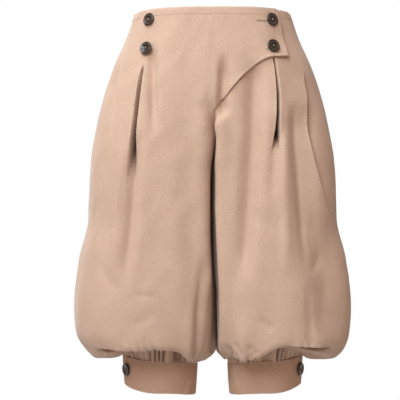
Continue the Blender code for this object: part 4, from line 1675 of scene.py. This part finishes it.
@dataclass
class KneeBand:
    """A folded strip round the knee, whose end laps over its start under a button."""

    name: str
    side: Side
    sway: float
    thickness: float = 0.0022
    over_end: float = math.radians(18)
    under_end: float = math.radians(54)
    ramp: float = math.radians(50)
    stations: int = 300
    end_stations: int = 5
    rows: int = 26
    round_points: int = 5
    edge_stitch: float = 0.0035
    length: float = 0.440
    halves: tuple[LegForm, LegForm] = field(init=False)
    total: float = field(init=False)
    height: float = field(init=False)
    grid: ClothGrid = field(init=False)

    # Two waves round the band, and three slanting wrinkles at its inner front.
    LONG_WAVE, LONG_TURNS = 0.0005, 3
    SHORT_WAVE, SHORT_TURNS, SHORT_SLANT = 0.0004, 7, 40
    WAVES_FULL = 0.020
    WRINKLE_ANGLE = math.radians(156)
    WRINKLE_SLANT, LAST_SLANT = 7, 3
    WRINKLES = (Peak(0.0009, 0.075), Peak(-0.0008, 0.06), Peak(0.0004, 0.06))
    WRINKLE_STEPS = (0, 0.16, 0.33)
    WRINKLES_FULL = (0.002, 0.016)

    # The groove along the stitching, the rubbed edges and ends, and the stitching itself.
    STITCH_GROOVE = Peak(0.00035, 0.0011)
    EDGE_RUB = 0.0022
    END_RUB = 0.002
    END_TURN = 0.15
    STITCH_INSET = 2.5
    ROUND_MARKS, END_MARKS = 900, 80

    def __post_init__(self) -> None:
        """Work out the smooth forms of both halves."""
        self.halves = LegForm(BAND_RINGS, True), LegForm(BAND_RINGS, False)
        self.total = 2 * math.pi + self.under_end - self.over_end
        self.height = BAND_RINGS[-1].down

    def lift(self, swept: Array) -> Array:
        """How far the band has come out by the time it has swept this far round."""
        over_start = self.under_end - self.over_end
        risen = smooth(swept, self.total - over_start - self.ramp, self.total - over_start)
        return risen * (self.thickness + SEAM_GAP)

    def wrinkles(self, angle: Array, down: Array) -> Array:
        """The band's slight waves, and its slanting wrinkles at the inner front.

        Args:
            angle: angles round the band from the outer side.
            down: ways down the band.

        Returns:
            Distances out of the smooth form.
        """
        waves = self.LONG_WAVE * np.sin(self.LONG_TURNS * angle + self.sway)
        slanting = self.SHORT_TURNS * angle + self.SHORT_SLANT * down + 2 * self.sway
        waves = waves + self.SHORT_WAVE * np.sin(slanting)
        off = angle - self.WRINKLE_ANGLE + self.WRINKLE_SLANT * down
        first, second, last = self.WRINKLES
        to_first, to_second, to_last = self.WRINKLE_STEPS
        slack = first.over(off + to_first) + second.over(off + to_second)
        slack = slack + last.over(off + to_last + self.LAST_SLANT * down)
        return waves * smooth(down, 0, self.WAVES_FULL) + slack * smooth(down, *self.WRINKLES_FULL)

    def surface(self, down: Array, swept: Array, lift: Array) -> Array:
        """Points of the band in leg coordinates.

        Args:
            down: ways down the band.
            swept: how far round it, from its under end.
            lift: how far off its outer face, below 0 inside it.

        Returns:
            The points.
        """
        angle = np.mod(self.under_end - swept, 2 * math.pi)
        front = angle <= math.pi
        share = np.where(front, angle, 2 * math.pi - angle) / math.pi
        out = lift + self.lift(swept) + self.wrinkles(angle, down)
        found = np.zeros((*down.shape, 3))
        for chosen, form in zip((front, ~front), self.halves):
            way = share * form.length(down)
            point = form.read(form.points, down, way)
            point = point + form.read(form.outwards, down, way) * out[..., None]
            found[chosen] = point[chosen]
        found[..., 2] -= SEAM_GAP
        return found

    def section(self) -> tuple[Array, Array]:
        """The band's flat, round-edged section: ways down and lifts, all round it."""
        radius = self.thickness / 2
        side = np.linspace(radius, self.height - radius, self.rows)
        turn = np.linspace(0, math.pi, self.round_points + 2)[1:-1]
        downs = np.concatenate([side, self.height - radius + radius * np.sin(turn),
                                side[::-1], radius - radius * np.sin(turn)])
        flat, under = np.zeros(self.rows), np.full(self.rows, -self.thickness)
        lifts = np.concatenate([flat, -radius + radius * np.cos(turn),
                                under, -radius - radius * np.cos(turn)])
        dents = self.STITCH_GROOVE.over(downs - self.edge_stitch)
        dents = dents + self.STITCH_GROOVE.over(self.height - downs - self.edge_stitch)
        return downs, lifts - dents * (lifts > -radius)

    def build(self, wardrobe: Wardrobe) -> Object:
        """Make the band as a closed, flat tube with round edges and ends.

        Args:
            wardrobe: the finishes.

        Returns:
            The band.
        """
        downs, lifts = self.section()
        radius = self.thickness / 2
        turn = np.linspace(self.END_TURN, math.pi / 2, self.end_stations)
        rounding = radius * (1 - np.sin(turn)) * self.total / self.length
        start = rounding[0] - rounding
        middle = np.linspace(rounding[0], self.total - rounding[0], self.stations)[1:-1]
        swept = np.concatenate([start, middle, self.total - start[::-1]])
        shrink = np.concatenate([np.sin(turn), np.ones(len(middle)), np.sin(turn)[::-1]])
        count, stations = len(downs), len(swept)
        down = np.repeat(downs[None, :], stations, axis=0)
        lift = -radius + (lifts[None, :] + radius) * shrink[:, None]
        points = self.surface(down, np.repeat(swept[:, None], count, axis=1), lift)
        points = Legs.to_side(points, np.full(down.shape, LEG_END), self.side)
        self.grid = ClothGrid(points[:, : self.rows].swapaxes(0, 1), self.side is Side.LEFT)
        faces = grid_faces(stations, count, False, closed=True)
        last = (stations - 1) * count
        faces += [list(range(count)), list(range(last, last + count))[::-1]]
        if self.side is Side.LEFT:
            faces = [face[::-1] for face in faces]
        way = swept * self.length / self.total
        flat = np.stack([np.repeat(way[:, None], count, axis=1), -down], axis=-1).reshape(-1, 2)
        ends = np.minimum(way, self.length - way)
        wear_and_painted_light = bell(down, self.EDGE_RUB) + bell(self.height - down, self.EDGE_RUB)
        wear_and_painted_light = wear_and_painted_light + np.exp(-ends / self.END_RUB)[:, None]
        piece = mesh_object(self.name + "_strip", points.reshape(-1, 3), faces, flat,
                            np.clip(wear_and_painted_light, 0, 1).ravel())
        settle(piece, "band_cloth", wardrobe.band)
        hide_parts(self.name)
        threads = ThreadWork()
        for rows, columns in self.stitch_lines(stations):
            threads.sew(self.grid, rows, columns)
        stitches = threads.built(self.name + "_stitching", "band_cloth", wardrobe.thread)
        return piece

    def stitch_lines(self, stations: int) -> list[tuple[Array, Array]]:
        """Rows and columns of the stitching inside the band's edges and its lapped end."""
        radius = self.thickness / 2
        row = (self.edge_stitch - radius) / (self.height - 2 * radius) * (self.rows - 1)
        end = stations - self.end_stations - self.STITCH_INSET
        along = np.linspace(0, end, self.ROUND_MARKS)
        down = np.linspace(row, self.rows - 1 - row, self.END_MARKS)
        return [
            (np.full_like(along, row), along),
            (np.full_like(along, self.rows - 1 - row), along),
            (down, np.full_like(down, end)),
        ]


@dataclass
class HornButton:
    """A turned horn button with a rounded rim, a dished ring, a well and four holes."""

    node: str
    axis_x: float
    spin: float
    radius: float = 0.0109
    thickness: float = 0.0036
    hole_radius: float = 0.00095
    hole_spacing: float = 0.0019
    steps: int = 64
    raised: float = 0.0008

    HOLE_STEPS = 20
    WELD = 0.00001
    SHARP_FROM = math.radians(40)

    # Reaches between which the painted highlight on the ring sets in and ends, and how high its floor
    # is.
    RING_START = (0.0063, 0.0074)
    RING_END = (0.0075, 0.0084)
    RING_FLOOR = 0.0018

    # The thread: its radius, how far its two runs lie apart, and how much higher one pair lies.
    THREAD_RADIUS = 0.00034
    THREAD_ASIDE = 0.00032
    THREAD_OVER = 0.00035

    # Each point's reach from the axis and its height, from the well round to the back.
    PROFILE = (
        (0.0000, 0.0022), (0.0030, 0.0022), (0.0042, 0.00225), (0.0048, 0.0025),
        (0.0053, 0.00285), (0.0064, 0.0029), (0.0075, 0.0029), (0.0081, 0.0030),
        (0.0086, 0.0033), (0.0091, 0.00352), (0.0096, 0.0036), (0.0101, 0.0035),
        (0.0106, 0.0031), (0.0109, 0.0024), (0.0109, 0.0017), (0.0107, 0.0010),
        (0.0102, 0.0004), (0.0096, 0.0001), (0.0088, 0.0000), (0.0000, 0.0000),
    )

    def turned(self) -> bpy.types.Mesh:
        """The turned button with its four holes drilled."""
        mesh = bmesh.new()
        verts = [mesh.verts.new((x, 0, z)) for x, z in self.PROFILE]
        edges = [mesh.edges.new(pair) for pair in zip(verts, verts[1:])]
        bmesh.ops.spin(mesh, geom=verts + edges, axis=(0, 0, 1), cent=(0, 0, 0),
                       steps=self.steps, angle=2 * math.pi, use_duplicate=False)
        bmesh.ops.remove_doubles(mesh, verts=mesh.verts, dist=self.WELD)
        bmesh.ops.recalc_face_normals(mesh, faces=mesh.faces)
        blank = bpy.data.meshes.new("horn_blank")
        mesh.to_mesh(blank)
        mesh.free()
        drills = bmesh.new()
        for x, y in self.holes():
            bmesh.ops.create_cone(
                drills, cap_ends=True, segments=self.HOLE_STEPS, radius1=self.hole_radius,
                radius2=self.hole_radius, depth=3 * self.thickness,
                matrix=Matrix.Translation((x, y, self.thickness / 2)))
        cutter = bpy.data.meshes.new("horn_drills")
        drills.to_mesh(cutter)
        drills.free()
        turned, drill = linked("horn_blank", blank), linked("horn_drills", cutter)
        cut = turned.modifiers.new("Holes", "BOOLEAN")
        cut.object = drill
        found = turned.evaluated_get(bpy.context.evaluated_depsgraph_get())
        data = bpy.data.meshes.new_from_object(found)
        for made in (turned, drill):
            bpy.data.objects.remove(made)
        return data

    def holes(self) -> list[tuple[float, float]]:
        """Where the four holes are."""
        turns = [math.pi / 4 + quarter * math.pi / 2 for quarter in range(4)]
        return [(self.hole_spacing * math.cos(a), self.hole_spacing * math.sin(a)) for a in turns]

    def seat(self) -> Matrix:
        """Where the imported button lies, facing away from the axis of the waist or knee."""
        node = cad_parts[self.node]
        corners = np.array([node.matrix_world @ v.co for v in node.data.vertices])
        centre = corners.mean(axis=0)
        axis = np.linalg.svd(corners - centre, full_matrices=False)[2][2]
        if axis @ (centre - (self.axis_x, 0, centre[2])) < 0:
            axis = -axis
        back = ((corners - centre) @ axis).min()
        place = Matrix.Translation(Vector(centre + axis * (back + self.raised)))
        facing = Vector(axis).to_track_quat("Z", "Y").to_matrix().to_4x4()
        return place @ facing @ Matrix.Rotation(self.spin, 4, "Z")

    def build(self, turned: bpy.types.Mesh, wardrobe: Wardrobe) -> Object:
        """Put a button and its thread in place.

        Args:
            turned: the turned button.
            wardrobe: the finishes.

        Returns:
            The button.
        """
        name = self.node + "_horn"
        data = turned.copy()
        data.name = name
        places = np.array([v.co for v in data.vertices])
        reach = np.hypot(places[:, 0], places[:, 1])
        # A highlight painted on the top of the dished ring, where the lamps would glint.
        wear_and_painted_light = smooth(reach, *self.RING_START) * (1 - smooth(reach, *self.RING_END))
        wear_and_painted_light = wear_and_painted_light * (places[:, 2] > self.RING_FLOOR)
        data.attributes.new("wear_and_painted_light", "FLOAT", "POINT").data.foreach_set("value", wear_and_painted_light.astype(np.float32))
        data.shade_smooth()
        data.set_sharp_from_angle(angle=self.SHARP_FROM)
        piece = linked(name, data)
        piece.matrix_world = self.seat()
        settle(piece, "button", wardrobe.horn)
        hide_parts(self.node)
        threads = ThreadWork()
        floor = self.PROFILE[0][1]
        holes = np.array([(x, y, floor) for x, y in self.holes()])
        for first, second, high in ((0, 2, 0.0), (1, 3, self.THREAD_OVER)):
            run = unit(holes[second] - holes[first])
            across = np.cross((0, 0, 1), run)
            for aside in (-self.THREAD_ASIDE, self.THREAD_ASIDE):
                lifted = across * aside + (0, 0, high)
                threads.lay((holes[first] + lifted)[None], (holes[second] + lifted)[None],
                            np.array([[0, 0, 1.0]]), self.THREAD_RADIUS)
        thread = threads.built(self.node + "_thread", "button", wardrobe.button_thread)
        thread.matrix_world = piece.matrix_world
        return piece


class Lamp(NamedTuple):
    """A soft square light: where it stands, the length of its side and its watts."""

    name: str
    place: tuple[float, float, float]
    size: float
    power: float


class Studio:
    """The white room: a pale floor, soft lights and the photograph's camera."""

    CAMERA = (-0.0216, -2.08, -0.317)
    LENS = 108.5
    SENSOR = 36
    FLOOR_Z = -1.05
    FLOOR_RADIUS = 2.2
    FLOOR_POINTS = 96
    FLOOR_COLOUR = (0.50, 0.50, 0.50, 1)
    FLOOR_SEEN = (0.93, 0.93, 0.93, 1)
    FLOOR_ROUGHNESS = 0.9
    AMBIENT = 0.42
    AMBIENT_COLOUR = (1.0, 0.74, 0.60, 1)
    LIGHT_COLOUR = (0.84, 0.94, 1.0)
    LIGHTS_FACE = (0, 0, -0.3)
    LAMPS = (
        Lamp("Key light", (-0.95, -2.5, 1.5), 1.6, 80.0),
        Lamp("Top light", (-0.8, -0.7, 2.0), 1.4, 42.0),
        Lamp("Back light", (-1.1, 2.2, 1.4), 1.4, 45.0),
    )

    def build(self) -> None:
        """Set up the camera, the lights, the world and the floor."""
        self.camera()
        for lamp in self.LAMPS:
            self.light(lamp)
        self.world()
        self.floor()
        bpy.context.scene.view_settings.view_transform = "Standard"

    def camera(self) -> None:
        """A level camera that looks along +Y."""
        data = bpy.data.cameras.new("Camera")
        data.lens = self.LENS
        data.sensor_width = self.SENSOR
        made = linked("Camera", data)
        made.location = self.CAMERA
        made.rotation_euler = (math.radians(90), 0, 0)
        bpy.context.scene.camera = made

    def light(self, lamp: Lamp) -> None:
        """Put up one lamp, facing the trousers."""
        data = bpy.data.lights.new(lamp.name, "AREA")
        data.size = lamp.size
        data.energy = lamp.power
        data.color = self.LIGHT_COLOUR
        made = linked(lamp.name, data)
        made.location = lamp.place
        towards = Vector(self.LIGHTS_FACE) - Vector(lamp.place)
        made.rotation_euler = towards.to_track_quat("-Z", "Y").to_euler()

    def world(self) -> None:
        """White where it is seen, dimmer where it lights the cloth."""
        world = bpy.data.worlds.new("Studio")
        world.use_nodes = True
        bpy.context.scene.world = world
        chain = NodeChain(world.node_tree)
        seen = chain.add("ShaderNodeLightPath").outputs["Is Camera Ray"]
        background = world.node_tree.nodes["Background"]
        chain.feed(background.inputs["Color"], chain.mix(seen, self.AMBIENT_COLOUR, (1, 1, 1, 1)))
        strength = chain.math("MULTIPLY_ADD", seen, 1 - self.AMBIENT, self.AMBIENT)
        chain.feed(background.inputs["Strength"], strength)

    def floor(self) -> None:
        """A pale round floor, well below the hems."""
        turn = np.linspace(0, 2 * math.pi, self.FLOOR_POINTS, endpoint=False)
        rim = np.column_stack([self.FLOOR_RADIUS * np.cos(turn), self.FLOOR_RADIUS * np.sin(turn),
                               np.full_like(turn, self.FLOOR_Z)])
        piece = mesh_object("studio_floor", rim, [list(range(len(turn)))])
        material, chain, shader = new_material("Pale floor")
        set_constants(shader, Base_Color=self.FLOOR_COLOUR, Roughness=self.FLOOR_ROUGHNESS)
        seen = chain.add("ShaderNodeLightPath").outputs["Is Camera Ray"]
        glow = chain.add("ShaderNodeEmission", {"Color": self.FLOOR_SEEN})
        mixed = chain.add("ShaderNodeMixShader", {0: seen, 1: shader.outputs[0], 2: glow.outputs[0]})
        output = material.node_tree.nodes["Material Output"]
        chain.feed(output.inputs["Surface"], mixed.outputs[0])
        piece.data.materials.append(material)


EDGE, PLEAT, TROUGH, RIDGE = FoldKind.EDGE, FoldKind.PLEAT, FoldKind.TROUGH, FoldKind.RIDGE


def left_front() -> BodyPanel:
    """The wearer's left front, which runs on under the flap."""
    return BodyPanel(
        "left_front", Side.LEFT, True,
        folds=(
            Fold(EDGE, 0.100, 0.150, 0.235, 0.400, 0.1520, 0.1700, 0.2160, 0.024, 0.0120),
            Fold(PLEAT, 0.080, 0.100, 0.185, 0.245, 0.0985, 0.1062, 0.0995, 0.0068, 0.0250, -1),
            Fold(TROUGH, 0.170, 0.220, 0.260, 0.340, 0.1050, 0.1000, 0.0900, 0.011, 0.0048),
            Fold(TROUGH, 0.080, 0.120, 0.375, 0.470, 0.0690, 0.0590, 0.0400, 0.015, 0.0140),
            Fold(RIDGE, 0.190, 0.240, 0.380, 0.450, 0.1140, 0.1170, 0.1200, 0.010, 0.0050),
            Fold(TROUGH, 0.330, 0.420, 0.500, 0.585, 0.1850, 0.1900, 0.1960, 0.036, 0.0165),
            Fold(TROUGH, 0.150, 0.200, 0.340, 0.460, 0.1310, 0.1425, 0.1540, 0.010, 0.0058),
            Fold(TROUGH, 0.150, 0.200, 0.350, 0.460, 0.1430, 0.1560, 0.1680, 0.024, 0.0120),
            Fold(TROUGH, 0.440, 0.500, 0.560, 0.600, 0.1560, 0.1580, 0.1600, 0.010, 0.0030),
            Fold(RIDGE, 0.165, 0.190, 0.550, 0.600, 0.0110, 0.0140, 0.0140, 0.014, 0.0130),
            Fold(RIDGE, 0.500, 0.560, 0.630, 0.655, 0.0420, 0.0440, 0.0460, 0.014, 0.0040),
        ),
        creases=(
            Crease(0.0195, 0.078, 0.0100, 0.194, 0.0080, -0.0125),
            Crease(0.072, 0.070, 0.040, 0.098, 0.010, -0.0016),
            Crease(0.068, 0.512, 0.100, 0.536, 0.008, -0.0020),
            Crease(0.016, 0.560, 0.030, 0.604, 0.0045, -0.0060),
            Crease(0.009, 0.575, 0.020, 0.612, 0.0040, -0.0045),
            Crease(0.030, 0.556, 0.046, 0.582, 0.004, -0.0032),
            Crease(0.052, 0.560, 0.066, 0.586, 0.004, -0.0026),
            Crease(0.190, 0.400, 0.160, 0.440, 0.009, -0.0022),
            Crease(0.060, 0.330, 0.100, 0.372, 0.010, -0.0014),
        ),
        tuck=Tuck((0.062, 0.075, 0.095, 0.118, 0.140, 0.162, 0.180, 0.196),
                  (0.608, 0.600, 0.592, 0.587, 0.581, 0.577, 0.572, 0.568),
                  (0.0, 0.006, 0.015, 0.021, 0.021, 0.017, 0.009, 0.0)),
        sags=(
            Sag(0.045, 0.596, 0.018, 0.032, 0.009),
            Sag(0.070, 0.596, 0.020, 0.030, 0.009),
            Sag(0.122, 0.590, 0.030, 0.028, -0.007),
        ),
        gathers=Gathers(21.0, 0.37), ripple=Ripple(0.8),
        cut=Cut(0.370, 0.690, 0.240), seam_from=FLY_END,
    )


def right_front(under: BodyPanel) -> FrontWithFlap:
    """The wearer's right front, with the flap on it.

    Args:
        under: the left front, which the flap laps over.

    Returns:
        The panel.
    """
    return FrontWithFlap(
        "right_front", Side.RIGHT, True,
        folds=(
            Fold(EDGE, 0.080, 0.130, 0.225, 0.400, 0.1560, 0.1730, 0.2110, 0.022, 0.0110),
            Fold(PLEAT, 0.094, 0.120, 0.180, 0.300, 0.1150, 0.1278, 0.1360, 0.0074, 0.0300, -1),
            Fold(TROUGH, 0.055, 0.090, 0.165, 0.220, 0.1005, 0.0995, 0.0960, 0.008, 0.0095),
            Fold(TROUGH, 0.200, 0.260, 0.370, 0.480, 0.1220, 0.1340, 0.1450, 0.010, 0.0105),
            Fold(RIDGE, 0.210, 0.270, 0.360, 0.460, 0.1450, 0.1580, 0.1640, 0.008, 0.0036),
            Fold(RIDGE, 0.160, 0.200, 0.430, 0.500, 0.0170, 0.0190, 0.0200, 0.015, 0.0090),
            Fold(TROUGH, 0.440, 0.500, 0.560, 0.600, 0.0030, 0.0040, 0.0050, 0.009, 0.0090),
            Fold(RIDGE, 0.300, 0.360, 0.480, 0.560, 0.0700, 0.0620, 0.0560, 0.022, 0.0032),
            Fold(TROUGH, 0.390, 0.450, 0.570, 0.610, 0.0200, 0.0280, 0.0370, 0.008, 0.0064),
            Fold(RIDGE, 0.480, 0.540, 0.630, 0.655, 0.0430, 0.0420, 0.0400, 0.012, 0.0060),
        ),
        creases=(
            Crease(0.137, 0.470, 0.086, 0.475, 0.005, -0.0012),
            Crease(0.105, 0.362, 0.054, 0.432, 0.011, -0.0018),
            Crease(0.190, 0.420, 0.150, 0.470, 0.010, -0.0020),
            Crease(0.090, 0.500, 0.130, 0.530, 0.010, -0.0014),
            Crease(0.030, 0.180, 0.070, 0.250, 0.014, -0.0016),
            Crease(0.061, 0.638, 0.061, 0.668, 0.0070, -0.0160),
        ),
        tuck=Tuck((0.066, 0.085, 0.100, 0.120, 0.140, 0.165, 0.184, 0.200),
                  (0.606, 0.603, 0.600, 0.595, 0.589, 0.581, 0.575, 0.569),
                  (0.0, 0.006, 0.014, 0.020, 0.023, 0.021, 0.015, 0.0)),
        sags=(Sag(0.095, 0.594, 0.060, 0.026, -0.002), Sag(0.035, 0.612, 0.016, 0.036, 0.010)),
        gathers=Gathers(22.0, 0.11), ripple=Ripple(0.0),
        cut=Cut(0.460, 0.690, 0.258), seam_from=FLY_END, nip=0.008, under=under,
    )


def right_back() -> BodyPanel:
    """The wearer's right back, with its own pleat and folds."""
    return BodyPanel(
        "right_back", Side.RIGHT, False,
        folds=(
            Fold(EDGE, 0.090, 0.150, 0.250, 0.340, 0.1520, 0.1700, 0.2020, 0.026, 0.0055),
            Fold(PLEAT, 0.072, 0.130, 0.150, 0.250, 0.0940, 0.1030, 0.1060, 0.0044, 0.0115, -1),
            Fold(TROUGH, 0.180, 0.240, 0.320, 0.420, 0.1040, 0.1090, 0.1120, 0.013, 0.0034),
            Fold(TROUGH, 0.160, 0.220, 0.330, 0.430, 0.0560, 0.0520, 0.0480, 0.016, 0.0028),
            Fold(RIDGE, 0.260, 0.330, 0.440, 0.540, 0.1350, 0.1400, 0.1460, 0.018, 0.0028),
            Fold(TROUGH, 0.440, 0.500, 0.560, 0.600, 0.0750, 0.0760, 0.0780, 0.012, 0.0028),
        ),
        creases=(
            Crease(0.180, 0.400, 0.130, 0.450, 0.010, -0.0015),
            Crease(0.050, 0.340, 0.090, 0.390, 0.011, -0.0013),
            Crease(0.110, 0.500, 0.150, 0.528, 0.008, -0.0013),
        ),
        tuck=Tuck((0.060, 0.080, 0.105, 0.130, 0.155, 0.175, 0.196),
                  (0.606, 0.602, 0.596, 0.590, 0.582, 0.576, 0.570),
                  (0.0, 0.004, 0.009, 0.011, 0.010, 0.005, 0.0)),
        sags=(Sag(0.080, 0.596, 0.040, 0.028, 0.004),),
        gathers=Gathers(21.5, 0.63), ripple=Ripple(1.9),
        cut=Cut(0.360, 0.690, 0.228), nip=0.008,
    )


def left_back() -> BodyPanel:
    """The wearer's left back, whose folds are unlike the right one's."""
    return BodyPanel(
        "left_back", Side.LEFT, False,
        folds=(
            Fold(EDGE, 0.085, 0.140, 0.260, 0.345, 0.1540, 0.1720, 0.2040, 0.026, 0.0060),
            Fold(PLEAT, 0.080, 0.115, 0.190, 0.310, 0.1010, 0.1075, 0.1150, 0.0050, 0.0105, -1),
            Fold(TROUGH, 0.190, 0.250, 0.330, 0.430, 0.1080, 0.1150, 0.1190, 0.013, 0.0034),
            Fold(RIDGE, 0.170, 0.240, 0.350, 0.450, 0.0620, 0.0600, 0.0560, 0.016, 0.0025),
            Fold(TROUGH, 0.300, 0.360, 0.460, 0.550, 0.0820, 0.0860, 0.0880, 0.018, 0.0028),
            Fold(RIDGE, 0.450, 0.510, 0.600, 0.640, 0.0480, 0.0470, 0.0460, 0.013, 0.0032),
        ),
        creases=(
            Crease(0.190, 0.380, 0.150, 0.430, 0.010, -0.0015),
            Crease(0.060, 0.420, 0.110, 0.450, 0.010, -0.0012),
            Crease(0.120, 0.510, 0.090, 0.540, 0.007, -0.0014),
        ),
        tuck=Tuck((0.058, 0.080, 0.105, 0.130, 0.155, 0.178, 0.198),
                  (0.607, 0.603, 0.598, 0.591, 0.583, 0.576, 0.569),
                  (0.0, 0.005, 0.010, 0.011, 0.009, 0.005, 0.0)),
        sags=(Sag(0.120, 0.594, 0.035, 0.028, -0.004),),
        gathers=Gathers(22.0, 0.84), ripple=Ripple(2.7),
        cut=Cut(0.360, 0.690, 0.228),
    )


def main() -> None:
    """Build the studio and the garment, in order."""
    Studio().build()
    wardrobe = Wardrobe()
    left = left_front()
    for panel in (left, right_front(left), right_back(), left_back()):
        panel.build(wardrobe)
    KneeBand("right_knee_band", Side.RIGHT, sway=0.4).build(wardrobe)
    KneeBand("left_knee_band", Side.LEFT, sway=1.9).build(wardrobe)
    buttons = [
        HornButton("waist_button_right_upper", axis_x=0.0, spin=0.30),
        HornButton("waist_button_right_lower", axis_x=0.0, spin=1.25),
        HornButton("waist_button_left_upper", axis_x=0.0, spin=0.10),
        HornButton("waist_button_left_lower", axis_x=0.0, spin=0.62),
        HornButton("knee_button_right", axis_x=-0.09, spin=0.85),
        HornButton("knee_button_left", axis_x=0.09, spin=1.70),
    ]
    turned = buttons[0].turned()
    for button in buttons:
        button.build(turned, wardrobe)


if __name__ == "__main__":
    logging.basicConfig(level=logging.INFO, format="%(message)s")
    main()
